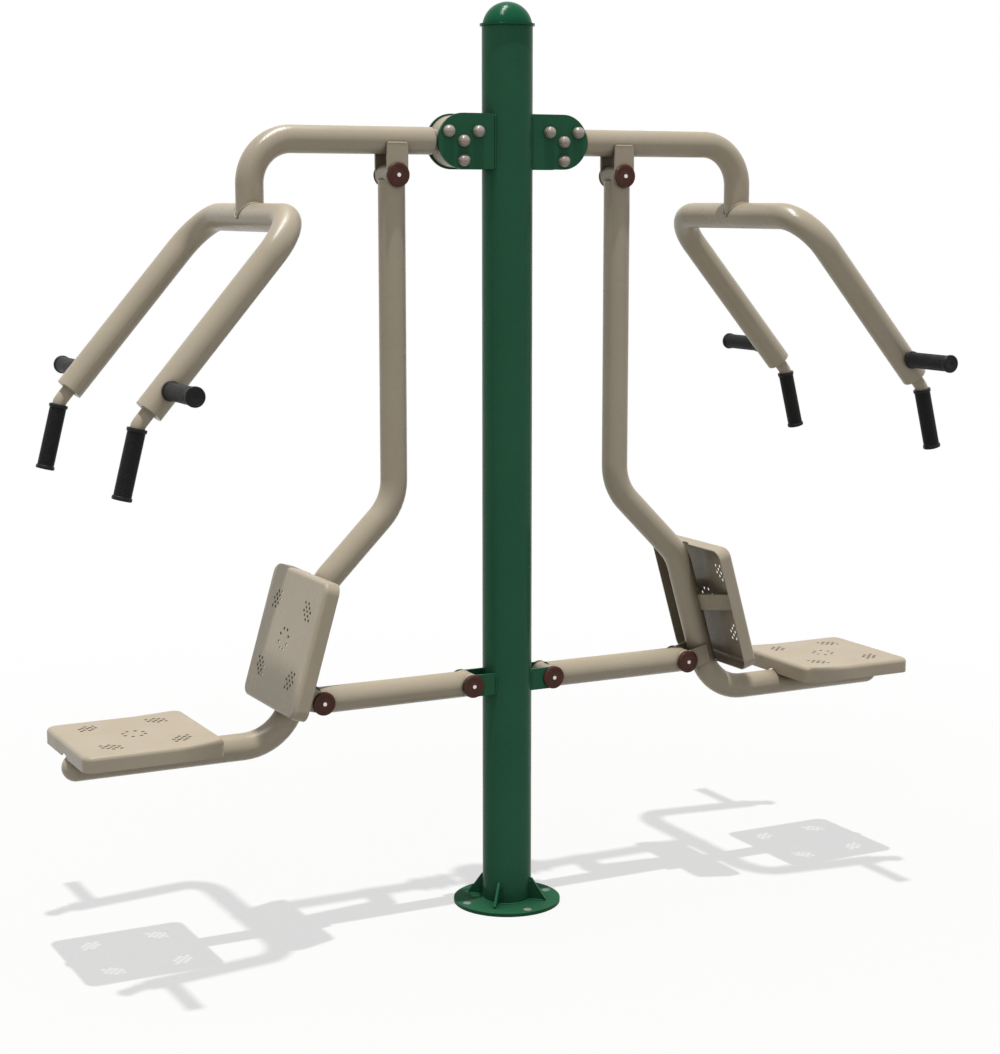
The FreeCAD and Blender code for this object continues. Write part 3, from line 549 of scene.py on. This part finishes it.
# The record's slots and the two coats that single nodes have to themselves.
FINISHES = {
    "green_paint": GREEN,
    "dome_paint": GREEN_DOME,
    "flange_paint": GREEN_FLANGE,
    "taupe_paint": TAUPE,
    "nut_paint": NUT_COVER,
    "cap_plastic": CAP_PLASTIC,
    "grip_rubber": GRIP_RUBBER,
    "buffer_rubber": BUFFER_RUBBER,
    "bearing_steel": TurnedSteel("bearing_steel", tint("b9b9b7"), tint("8e8c88"), roughness=0.30),
    "axle_steel": TurnedSteel("plated_axle_steel", tint("dfd6d2"), tint("c4bab4"), roughness=0.38),
}
OWN_COATS = {"base_flange": "flange_paint", "post_cap": "dome_paint"}
WELDED_PAINTS = ("green_paint", "taupe_paint")


class PaintShop:
    """Holds the mixed finishes and puts them on nodes and new pieces."""

    def __init__(self) -> None:
        """Mixes every finish once, and each welded paint once more for its beads, with no rubbed edges."""
        self.materials = {slot: finish.material() for slot, finish in FINISHES.items()}
        for slot in WELDED_PAINTS:
            bead = replace(FINISHES[slot], name=f"{FINISHES[slot].name}_on_beads", wear=0.0)
            self.materials[f"{slot}_bead"] = bead.material()

    def coat(self, piece: bpy.types.Object, finish: str) -> None:
        """Puts one finish all over a piece."""
        piece.data.materials.clear()
        piece.data.materials.append(self.materials[finish])

    def coat_nodes(self) -> None:
        """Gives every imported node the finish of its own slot, or a coat of its own."""
        for row in frame["record"]["subparts"]:
            finish = OWN_COATS.get(row["node"], row["material_slot"])
            self.coat(frame["nodes"][row["node"]], finish)
            log.info("node %s wears %s", row["node"], finish)

    def hand_over(self, piece: bpy.types.Object, body: str, slot: str, *nodes: str) -> None:
        """Finishes a new piece and ties it to its body.

        Args:
            piece: The modelled piece, in place; one that stands for no node is a row of weld beads.
            body: The body that carries it.
            slot: The record's slot for its finish.
            *nodes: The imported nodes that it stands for.
        """
        self.coat(piece, slot if nodes else f"{slot}_bead")
        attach(piece, body)
        if nodes:
            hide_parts(*nodes)
        log.info("piece %s rides on %s, %d faces", piece.name, body, len(piece.data.polygons))


def deselect() -> None:
    """Lets go of everything that is selected."""
    bpy.ops.object.select_all(action="DESELECT")


def select_only(piece: bpy.types.Object) -> None:
    """Makes one piece the only selected and active one.

    Args:
        piece: The piece to select.
    """
    deselect()
    piece.select_set(True)
    bpy.context.view_layer.objects.active = piece


def edit_picked(piece: bpy.types.Object, kind: Pick) -> None:
    """Opens a piece for editing with what is picked on its mesh.

    Args:
        piece: The piece to edit.
        kind: Which of its elements are picked.
    """
    select_only(piece)
    bpy.context.tool_settings.mesh_select_mode = tuple(kind is other for other in Pick)
    bpy.ops.object.mode_set(mode="EDIT")


def unpick(mesh: bpy.types.Mesh) -> None:
    """Lets go of every vertex, edge and face of a mesh."""
    for part in (mesh.vertices, mesh.edges, mesh.polygons):
        part.foreach_set("select", [False] * len(part))


def carry(point: Vector, side: Side, face: Face) -> Vector:
    """Carries a point or direction of the right station's front face to a station and face."""
    return face.carry(side.carry(point))


def facing(point: Vector, direction: Vector) -> Matrix:
    """The placement that puts a piece's origin at a point and its own Z axis along a direction."""
    return Matrix.Translation(point) @ direction.to_track_quat("Z", "Y").to_matrix().to_4x4()


def aim(direction: Vector) -> Euler:
    """The turn that points a lamp or camera along a direction."""
    return direction.to_track_quat("-Z", "Y").to_euler()


def turn_rings(name: str, rings: list[Ring], segments: int) -> bpy.types.Object:
    """Models a turned piece about its own Z axis by extruding one circle from ring to ring.

    Args:
        name: The piece's name.
        rings: Height and radius of each ring; where the last isn't the first again, both are closed across
            the axis.
        segments: How many sides a ring has.

    Returns:
        The closed piece.
    """
    deselect()
    height, radius = rings[0]
    bpy.ops.mesh.primitive_circle_add(vertices=segments, radius=radius, location=(0.0, 0.0, 0.0))
    piece = bpy.context.object
    piece.name = name
    edit_picked(piece, Pick.VERT)
    bpy.ops.mesh.select_all(action="SELECT")
    bpy.ops.transform.translate(value=(0.0, 0.0, height))
    for next_height, next_radius in rings[1:]:
        rise = (0.0, 0.0, next_height - height)
        bpy.ops.mesh.extrude_region_move(TRANSFORM_OT_translate={"value": rise})
        grow = next_radius / radius
        bpy.ops.transform.resize(value=(grow, grow, 1.0), center_override=(0.0, 0.0, next_height))
        height, radius = next_height, next_radius
    bpy.ops.mesh.select_all(action="SELECT")
    bpy.ops.mesh.remove_doubles(threshold=MERGE_REACH)
    bpy.ops.mesh.fill_holes(sides=0)
    bpy.ops.mesh.normals_make_consistent(inside=False)
    bpy.ops.object.mode_set(mode="OBJECT")
    return piece


def quarter_round(across: float, along: float, steps: int) -> list[Ring]:
    """Works out the points of a rounded edge, from the rim to the end face.

    Args:
        across: How far the rounding reaches in from the rim.
        along: How far it reaches back from the end face.
        steps: How many stretches it has.

    Returns:
        Each point's distance from the end face and from the rim.
    """
    turns = [math.pi / 2 * step / steps for step in range(steps + 1)]
    return [(along * (1.0 - math.sin(turn)), across * (1.0 - math.cos(turn))) for turn in turns]


def smooth(piece: bpy.types.Object) -> None:
    """Shades a piece smooth, except over its sharp edges."""
    select_only(piece)
    bpy.ops.object.shade_smooth_by_angle(angle=SMOOTH_ANGLE)


def join(name: str, pieces: list[bpy.types.Object]) -> bpy.types.Object:
    """Joins pieces that belong together into one.

    Args:
        name: The joined piece's name.
        pieces: The pieces, each in place.

    Returns:
        The joined piece, with its place in its mesh.
    """
    deselect()
    for piece in pieces:
        piece.select_set(True)
    bpy.context.view_layer.objects.active = pieces[0]
    bpy.ops.object.join()
    bpy.ops.object.transform_apply(location=True, rotation=True, scale=True)
    joined = bpy.context.object
    joined.name = name
    joined.data.name = name
    return joined


def repeat(master: bpy.types.Object, name: str, places: list[Matrix]) -> bpy.types.Object:
    """Copies a modelled piece to every place and joins the copies.

    Args:
        master: The piece at the origin, used up by this.
        name: The name of the joined copies.
        places: One placement per copy.

    Returns:
        The joined copies.
    """
    copies = []
    for place in places:
        copy = master.copy()
        copy.data = master.data.copy()
        copy.data.transform(place)
        bpy.context.scene.collection.objects.link(copy)
        copies.append(copy)
    bpy.data.objects.remove(master)
    return join(name, copies)


@dataclass
class PivotCaps:
    """Moulded caps over the pivot axles: a rounded rim, a shallow groove, a collar round the axle's end."""

    rim_r: float = 0.0265
    thick: float = 0.006
    bore_r: float = 0.0047
    segments: int = 64
    ear_face: float = 0.0342
    foot_inset: float = 0.0004
    foot_height: float = 0.0005
    round_across: float = 0.0045
    round_along: float = 0.0030
    round_steps: int = 4
    groove_share: float = 0.68
    groove_brink: float = 0.0009
    groove_floor: float = 0.0005
    groove_depth: float = 0.0006
    collar_share: float = 0.33
    collar_slope: float = 0.0008
    collar_sink: float = 0.0003
    collar_height: float = 0.0003
    collar_width: float = 0.0012
    bore_sink: float = 0.0002

    def rings(self) -> list[Ring]:
        """Draws the cap's section from the bore round its rim and back.

        Returns:
            Height and radius of each ring.
        """
        top, rim = self.thick, self.rim_r
        groove, collar = rim * self.groove_share, rim * self.collar_share
        rounded = quarter_round(self.round_across, self.round_along, self.round_steps)
        return [
            (0.0, self.bore_r),
            (0.0, rim - self.foot_inset),
            (self.foot_height, rim),
            *((top - depth, rim - inset) for depth, inset in rounded),
            (top, groove + self.groove_brink),
            (top - self.groove_depth, groove + self.groove_floor),
            (top - self.groove_depth, groove - self.groove_floor),
            (top, groove - self.groove_brink),
            (top - self.collar_sink, collar + self.collar_slope),
            (top + self.collar_height, collar),
            (top + self.collar_height, self.bore_r + self.collar_width),
            (top - self.bore_sink, self.bore_r),
            (0.0, self.bore_r),
        ]

    def build(self, name: str, pivots: list[Vector]) -> bpy.types.Object:
        """Models one cap and sets it on both faces of every pivot.

        Args:
            name: The piece's name.
            pivots: The pivots' centres, on the machine's middle plane.

        Returns:
            All the caps as one piece.
        """
        cap = turn_rings(name, self.rings(), self.segments)
        smooth(cap)
        places = []
        for pivot in pivots:
            for face in Face:
                outward = face.carry(FRONTWARD)
                places.append(facing(pivot + outward * self.ear_face, outward))
        return repeat(cap, name, places)


@dataclass
class HandGrip:
    """A rubber grip: a sleeve with small raised blocks between two rounded flanges, dished at its far end."""

    length: float = 0.145
    sleeve_r: float = 0.0177
    flange_r: float = 0.0205
    flange_width: float = 0.008
    round_across: float = 0.0018
    outer_round: float = 0.0015
    inner_round: float = 0.0020
    round_steps: int = 2
    shoulder: float = 0.0012
    bore_r: float = 0.0152
    end_wall: float = 0.004
    end_inset: float = 0.0040
    dish_inset: float = 0.0052
    dish_depth: float = 0.0012
    vent_r: float = 0.004
    vent_flare: float = 0.0008
    vent_taper: float = 0.0004
    vent_depths: tuple[float, float] = (0.0006, 0.0014)
    rows: int = 34
    segments: int = 40
    block_gap: float = 0.0005
    block_height: float = 0.0007
    outside_share: float = 0.97

    @property
    def first_row(self) -> float:
        """The height at which the rows of blocks start."""
        return self.flange_width + self.shoulder

    @property
    def row_step(self) -> float:
        """The height of one row of blocks."""
        return (self.length - 2 * self.first_row) / self.rows

    def flange(self) -> list[Ring]:
        """Draws the rounded outline of the near flange, from its outer face to its inner one.

        Returns:
            Height and radius of each ring.
        """
        rim, width = self.flange_r, self.flange_width
        outer = quarter_round(self.round_across, self.outer_round, self.round_steps)
        inner = quarter_round(self.round_across, self.inner_round, self.round_steps)
        rise = [(depth, rim - inset) for depth, inset in reversed(outer)]
        return rise + [(width - depth, rim - inset) for depth, inset in inner]

    def rings(self) -> list[Ring]:
        """Draws the grip's section from its bore's end along the outside to its far end.

        Returns:
            Height and radius of each ring.
        """
        bore = [(self.length - self.end_wall, self.bore_r), (0.0, self.bore_r)]
        near = self.flange()
        far = [(self.length - height, radius) for height, radius in reversed(near)]
        levels = [self.first_row + self.row_step * row for row in range(self.rows + 1)]
        sleeve = [(level, self.sleeve_r) for level in levels]
        dish = self.length - self.dish_depth
        end = [
            (self.length, self.flange_r - self.end_inset),
            (dish, self.flange_r - self.dish_inset),
            (dish, self.vent_r + self.vent_flare),
            (dish - self.vent_depths[0], self.vent_r),
            (dish - self.vent_depths[1], self.vent_r - self.vent_taper),
        ]
        return bore + near + sleeve + far + end

    def raise_blocks(self, grip: bpy.types.Object) -> None:
        """Raises every field of the sleeve as a block.

        Args:
            grip: The turned grip, still smooth.
        """
        unpick(grip.data)
        for field in grip.data.polygons:
            row = math.floor((field.center.z - self.first_row) / self.row_step)
            outside = field.center.xy.length > self.sleeve_r * self.outside_share
            field.select = outside and 0 <= row < self.rows
        edit_picked(grip, Pick.FACE)
        bpy.ops.mesh.inset(thickness=self.block_gap, depth=self.block_height, use_individual=True)
        bpy.ops.object.mode_set(mode="OBJECT")

    def build(self, name: str, places: list[Matrix]) -> bpy.types.Object:
        """Models one grip and sets a copy at every place.

        Args:
            name: The piece's name.
            places: One placement per grip, Z along the grip from its inner end.

        Returns:
            All the grips as one piece.
        """
        grip = turn_rings(name, self.rings(), self.segments)
        self.raise_blocks(grip)
        smooth(grip)
        return repeat(grip, name, places)


@dataclass(frozen=True)
class WeldBead:
    """A painted weld bead: a thin roll whose sections swell at even steps."""

    thick: float
    ripple: float = 0.0005
    pitch: float = 0.0018
    sides: int = 12
    swell_every: int = 3
    least_swells: int = 16
    least_cuts: int = 3
    taper: float = 0.55

    def fatten(self, bead: bpy.types.Object, sections: list[list[int]]) -> None:
        """Swells sections of a bead at even steps and shades it.

        Args:
            bead: The even bead.
            sections: Vertex numbers of each section, in order along it.
        """
        unpick(bead.data)
        for section in sections[::self.swell_every]:
            for number in section:
                bead.data.vertices[number].select = True
        edit_picked(bead, Pick.VERT)
        bpy.ops.transform.shrink_fatten(value=self.ripple)
        bpy.ops.object.mode_set(mode="OBJECT")
        smooth(bead)

    def ring(self, radius: float, place: Matrix, saddle_r: float = 0.0) -> bpy.types.Object:
        """Lays a bead round a tube or rod.

        Args:
            radius: The ring's radius.
            place: Where the ring goes, its axis along Z.
            saddle_r: Radius of a round tube along the ring's Y axis that the bead dips over, or 0 for a flat
                ring.

        Returns:
            The bead, in place.
        """
        deselect()
        swells = round(math.tau * radius / self.pitch / self.swell_every)
        count = self.swell_every * max(self.least_swells, swells)
        bpy.ops.mesh.primitive_torus_add(
            major_radius=radius, minor_radius=self.thick, major_segments=count, minor_segments=self.sides
        )
        bead = bpy.context.object
        starts = range(0, count * self.sides, self.sides)
        sections = [list(range(start, start + self.sides)) for start in starts]
        if saddle_r:
            for section in sections:
                along = bead.data.vertices[section[0]].co
                offset = radius * along.x / along.xy.length
                dip = math.sqrt(max(0.0, saddle_r ** 2 - offset ** 2))
                for number in section:
                    bead.data.vertices[number].co.z += dip
        self.fatten(bead, sections)
        bead.data.transform(place)
        return bead

    def seam(self, start: Vector, end: Vector) -> bpy.types.Object:
        """Lays a straight bead from one point to another.

        Args:
            start: Where the bead starts.
            end: Where it ends.

        Returns:
            The bead, in place, with tapered ends.
        """
        deselect()
        length = (end - start).length
        cuts = max(self.least_cuts, round(length / self.pitch))
        bpy.ops.mesh.primitive_cylinder_add(
            vertices=self.sides, radius=self.thick, depth=length, location=(0.0, 0.0, length / 2)
        )
        bpy.ops.object.transform_apply(location=True, rotation=False, scale=False)
        bead = bpy.context.object
        mesh = bead.data
        unpick(mesh)
        for edge in mesh.edges:
            low, high = (mesh.vertices[number].co.z for number in edge.vertices)
            edge.select = abs(high - low) > length / 2
        edit_picked(bead, Pick.EDGE)
        bpy.ops.mesh.subdivide(number_cuts=cuts)
        bpy.ops.object.mode_set(mode="OBJECT")
        levels: dict[int, list[int]] = {}
        for vertex in mesh.vertices:
            level = round(vertex.co.z / length * (cuts + 1))
            levels.setdefault(level, []).append(vertex.index)
            if level in (0, cuts + 1):
                vertex.co.x *= self.taper
                vertex.co.y *= self.taper
        self.fatten(bead, [levels[level] for level in sorted(levels)][1:-1])
        mesh.transform(facing(start, end - start))
        return bead


# The beads in use, and how far a straight one stops short of a plate's corner.
POST_BEAD = WeldBead(thick=0.0026)
TUBE_BEAD = WeldBead(thick=0.0028)
ROD_BEAD = WeldBead(thick=0.0020, ripple=0.0003, pitch=0.0014)
CORNER_GAP = 0.002


@dataclass
class Post:
    """The still post with its base, brackets and lower pivots."""

    tube_r: float = 0.057
    ring_gap: float = 0.0005
    flange_top: float = 0.008
    gusset_half: float = 0.003
    gusset_reach: float = 0.038
    gusset_height: float = 0.052
    gusset_turns: tuple[float, ...] = (45.0, 135.0, 225.0, 315.0)
    toe_gap: float = 0.003
    tip_gap: float = 0.004
    plate_faces: tuple[float, float] = (0.027, 0.033)
    plate_z: float = 1.763
    plate_half: float = 0.061
    ear_faces: tuple[float, float] = (0.0292, 0.0342)
    ear_half: float = 0.025
    pivot_x: float = 0.1041
    pivot_z: float = 0.534

    def base_beads(self) -> list[bpy.types.Object]:
        """Welds the post and its gussets to the flange.

        Returns:
            The beads, in place.
        """
        foot = Matrix.Translation((0.0, 0.0, self.flange_top))
        beads = [POST_BEAD.ring(self.tube_r + self.ring_gap, foot)]
        for turn in self.gusset_turns:
            swing = Matrix.Rotation(math.radians(turn), 4, "Z")
            for offset in (-self.gusset_half, self.gusset_half):
                heel = Vector((self.tube_r, offset, self.flange_top))
                tip = heel + UP * (self.gusset_height - self.tip_gap)
                toe = heel + RIGHTWARD * (self.gusset_reach - self.toe_gap)
                beads.append(POST_BEAD.seam(swing @ heel, swing @ tip))
                beads.append(POST_BEAD.seam(swing @ heel, swing @ toe))
        return beads

    def bracket_beads(self) -> list[bpy.types.Object]:
        """Welds the bracket plates and the lower ears to the post.

        Returns:
            The beads, in place.
        """
        beads = []
        plates = (self.plate_faces, self.plate_z, self.plate_half)
        ears = (self.ear_faces, self.pivot_z, self.ear_half)
        for faces, middle, half in (plates, ears):
            rise = half - CORNER_GAP
            for depth in faces:
                reach = math.sqrt(self.tube_r ** 2 - depth ** 2)
                for side in Side:
                    for face in Face:
                        low = carry(Vector((reach, -depth, middle - rise)), side, face)
                        beads.append(POST_BEAD.seam(low, low + UP * (2 * rise)))
        return beads

    def build(self, shop: PaintShop) -> None:
        """Adds the caps of the lower pivots and the weld beads.

        Args:
            shop: Where the pieces get their finish.
        """
        pivot = Vector((self.pivot_x, 0.0, self.pivot_z))
        caps = PivotCaps().build("lower_pivot_caps", [side.carry(pivot) for side in Side])
        shop.hand_over(caps, "post", "cap_plastic", "lower_axle_caps")
        welds = join("post_weld_beads", self.base_beads() + self.bracket_beads())
        shop.hand_over(welds, "post", "green_paint")


@dataclass
class PressArm:
    """One station's swinging arm: grips, top pivot caps and weld beads."""

    side: Side
    tube_r: float = 0.030
    pivot_z: float = Post.plate_z
    tube_start: float = 0.190
    spigot_r: float = 0.026
    spigot_gap: float = 0.0008
    leg_x: float = 0.614
    crossbar_z: float = 1.598
    bar_drop: float = 49.2
    bar_leg: float = 0.494
    bar_half: float = 0.280
    ring_gap: float = 0.0006
    rod_r: float = 0.015
    knee_distance: float = 0.034
    knee_angle: float = 26.5
    grip_start: float = 0.006
    side_setback: float = 0.055
    side_gap: float = 0.003
    top_pivot: tuple[float, float] = (0.2846, 1.6886)
    ear_half: float = 0.025
    ear_top: float = 1.7565
    ear_middle: float = 0.0317

    @property
    def body(self) -> str:
        """The body that carries the arm."""
        return f"{self.side.label}_arm"

    def slope(self, point: Vector) -> Vector:
        """Takes a point of the flat handlebar to its place on the sloping one."""
        return Vector((self.leg_x, 0.0, self.crossbar_z)) + self.slope_way(point)

    def slope_way(self, way: Vector) -> Vector:
        """Takes a direction of the flat handlebar to its place on the sloping one."""
        return Matrix.Rotation(math.radians(self.bar_drop), 3, "Y") @ way

    def set_on(self, point: Vector, way: Vector, face: Face) -> Matrix:
        """The placement of a piece of the front face, carried to this station and face."""
        return facing(carry(point, self.side, face), carry(way, self.side, face))

    def grip_places(self) -> list[Matrix]:
        """Works out where the station's four grips go.

        Returns:
            One placement per grip.
        """
        bend = math.radians(self.knee_angle)
        down = Vector((math.cos(bend), 0.0, -math.sin(bend)))
        knee = Vector((self.bar_leg + self.knee_distance, -self.bar_half, 0.0)) + down * self.grip_start
        wall = self.bar_half + self.tube_r + self.side_gap
        flank = Vector((self.bar_leg - self.side_setback, -wall, 0.0))
        places = []
        for face in Face:
            places.append(self.set_on(self.slope(knee), self.slope_way(down), face))
            places.append(self.set_on(self.slope(flank), FRONTWARD, face))
        return places

    def beads(self) -> list[bpy.types.Object]:
        """Welds the arm tube, the crossbar, the ears and the rods together.

        Returns:
            The beads, in place.
        """
        start = self.set_on(Vector((self.tube_start, 0.0, self.pivot_z)), -RIGHTWARD, Face.FRONT)
        crossing = Matrix.Translation(self.side.carry(Vector((self.leg_x, 0.0, self.crossbar_z))))
        beads = [
            ROD_BEAD.ring(self.spigot_r + self.spigot_gap, start),
            TUBE_BEAD.ring(self.tube_r + self.ring_gap, crossing, self.tube_r),
        ]
        leg_end = self.slope(Vector((self.bar_leg, -self.bar_half, 0.0)))
        root = Vector((self.top_pivot[0], -self.ear_middle, self.ear_top))
        reach = RIGHTWARD * (self.ear_half - CORNER_GAP)
        for face in Face:
            rod = self.set_on(leg_end, self.slope_way(RIGHTWARD), face)
            beads.append(ROD_BEAD.ring(self.rod_r + self.ring_gap, rod))
            first, last = (carry(point, self.side, face) for point in (root - reach, root + reach))
            beads.append(TUBE_BEAD.seam(first, last))
        return beads

    def build(self, shop: PaintShop) -> None:
        """Adds the arm's caps, grips and beads.

        Args:
            shop: Where the pieces get their finish.
        """
        name = self.side.label
        pivot = self.side.carry(Vector((self.top_pivot[0], 0.0, self.top_pivot[1])))
        caps = PivotCaps().build(f"{name}_top_pivot_caps", [pivot])
        shop.hand_over(caps, self.body, "cap_plastic", f"{name}_top_axle_caps")
        grips = HandGrip().build(f"{name}_moulded_grips", self.grip_places())
        shop.hand_over(grips, self.body, "grip_rubber", f"{name}_hand_grips")
        welds = join(f"{name}_arm_weld_beads", self.beads())
        shop.hand_over(welds, self.body, "taupe_paint")


@dataclass
class SeatFrame:
    """One station's hanging seat frame: the caps of its link pivot and the beads of its ears."""

    side: Side
    link_pivot: tuple[float, float] = (0.4734, 0.534)
    tilt: float = 16.2
    ear_reach: float = 0.060
    ear_half: float = 0.023
    ear_middle: float = PressArm.ear_middle

    @property
    def body(self) -> str:
        """The body that carries the seat frame."""
        return f"{self.side.label}_seat_frame"

    @property
    def pivot(self) -> Vector:
        """The centre of the right station's link pivot."""
        return Vector((self.link_pivot[0], 0.0, self.link_pivot[1]))

    def beads(self) -> list[bpy.types.Object]:
        """Welds the ears to the frame tube.

        Returns:
            The beads, in place.
        """
        lean = math.radians(self.tilt)
        outward = Vector((math.cos(lean), 0.0, math.sin(lean)))
        upward = Vector((-math.sin(lean), 0.0, math.cos(lean)))
        root = self.pivot + outward * self.ear_reach + FRONTWARD * self.ear_middle
        reach = upward * (self.ear_half - CORNER_GAP)
        beads = []
        for face in Face:
            low, high = (carry(point, self.side, face) for point in (root - reach, root + reach))
            beads.append(TUBE_BEAD.seam(low, high))
        return beads

    def build(self, shop: PaintShop) -> None:
        """Adds the link pivot's caps and the ears' weld beads.

        Args:
            shop: Where the pieces get their finish.
        """
        name = self.side.label
        caps = PivotCaps().build(f"{name}_link_pivot_caps", [self.side.carry(self.pivot)])
        shop.hand_over(caps, self.body, "cap_plastic", f"{name}_link_axle_caps")
        welds = join(f"{name}_ear_weld_beads", self.beads())
        shop.hand_over(welds, self.body, "taupe_paint")


@dataclass
class Studio:
    """A pale floor, light from above and the camera of the main view."""

    eye: Vector = Vector((-2.2136, -4.2664, 1.6316))
    gaze: Vector = Vector((0.45222, 0.87882, -0.15223))
    lens: float = 72.21
    sensor: float = 36.0
    floor_size: float = 60.0
    floor_lit: Colour = tint("969694")
    floor_seen: Colour = tint("f4f4f2")
    floor_rough: float = 0.9
    fade: Band = (1.3, 3.6)
    least_glow: float = 0.60
    ambient: float = 0.30
    key_energy: float = 2.35
    key_spread: float = 1.0
    key_place: Vector = Vector((-0.4, -0.6, 5.0))
    key_way: Vector = Vector((0.016, 0.110, -1.0))
    strip_energy: float = 290.0
    strip_place: Vector = Vector((-0.80, 0.01, 5.07))
    strip_size: tuple[float, float] = (2.8, 0.5)
    strip_turn: float = 38.0
    box_energy: float = 12.0
    box_place: Vector = Vector((-3.4, -3.6, 3.4))
    box_target: Vector = Vector((0.0, 0.0, 1.2))
    box_size: float = 1.6

    def floor(self) -> None:
        """Lays the floor: white to the camera, grey to the light that bounces, with the object's shadow."""
        deselect()
        bpy.ops.mesh.primitive_plane_add(size=self.floor_size)
        plane = bpy.context.object
        plane.name = "studio_floor"
        board = PaintBoard("studio_floor")
        seen = board.seen()
        tone = board.mix(seen, self.floor_lit, self.floor_seen)
        board.shade(Base_Color=tone, Roughness=self.floor_rough, Specular_IOR_Level=0.0)
        distance = board.add("ShaderNodeVectorMath", {0: board.place}, operation="LENGTH").outputs["Value"]
        share = board.times(seen, board.span(distance, self.fade, self.least_glow, 1.0))
        glow = board.add("ShaderNodeEmission", {"Color": WHITE, "Strength": 1.0})
        sources = {0: share, 1: board.shader.outputs[0], 2: glow.outputs[0]}
        blend = board.add("ShaderNodeMixShader", sources)
        board.feed(board.tree.nodes["Material Output"].inputs["Surface"], blend.outputs[0])
        plane.data.materials.append(board.material)

    def sky(self) -> None:
        """Lights the scene evenly, with plain white behind it."""
        world = bpy.data.worlds.new("studio_sky")
        world.use_nodes = True
        bpy.context.scene.world = world
        board = NodeBoard(world.node_tree)
        background = board.tree.nodes["Background"].inputs
        board.feed(background["Color"], WHITE)
        board.feed(background["Strength"], board.span(board.seen(), (0.0, 1.0), self.ambient, 1.0))

    def hang(self, name: str, kind: str, place: Vector, turn: Euler, energy: float) -> bpy.types.Object:
        """Hangs a lamp.

        Args:
            name: The lamp's name.
            kind: Blender's name for its type.
            place: Where it hangs.
            turn: How it is turned; unturned, it shines straight down.
            energy: Its strength.

        Returns:
            The lamp.
        """
        deselect()
        bpy.ops.object.light_add(type=kind, location=place)
        lamp = bpy.context.object
        lamp.name = name
        lamp.rotation_euler = turn
        lamp.data.energy = energy
        return lamp

    def lamps(self) -> None:
        """Hangs a key light and a strip for the glints overhead, and a faint box at the front left."""
        key = self.hang("overhead_key", "SUN", self.key_place, aim(self.key_way), self.key_energy)
        key.data.angle = math.radians(self.key_spread)
        key.visible_glossy = False
        level = Euler((0.0, 0.0, math.radians(self.strip_turn)))
        strip = self.hang("overhead_strip", "AREA", self.strip_place, level, self.strip_energy)
        strip.data.shape = "RECTANGLE"
        strip.data.size, strip.data.size_y = self.strip_size
        strip.visible_diffuse = False
        slant = aim(self.box_target - self.box_place)
        box = self.hang("front_box", "AREA", self.box_place, slant, self.box_energy)
        box.data.size = self.box_size

    def camera(self) -> None:
        """Sets up the camera of the main view."""
        deselect()
        bpy.ops.object.camera_add(location=self.eye)
        camera = bpy.context.object
        camera.name = "main_camera"
        camera.rotation_euler = aim(self.gaze)
        camera.data.lens = self.lens
        camera.data.sensor_width = self.sensor
        bpy.context.scene.camera = camera

    def build(self) -> None:
        """Sets up floor, light, camera and colour view."""
        self.floor()
        self.sky()
        self.lamps()
        self.camera()
        bpy.context.scene.view_settings.view_transform = "Standard"


def main() -> None:
    """Dresses the machine piece by piece and sets up its studio."""
    logging.basicConfig(level=logging.INFO, format="%(message)s")
    shop = PaintShop()
    shop.coat_nodes()
    Post().build(shop)
    for side in Side:
        PressArm(side).build(shop)
        SeatFrame(side).build(shop)
    Studio().build()


if __name__ == "__main__":
    main()
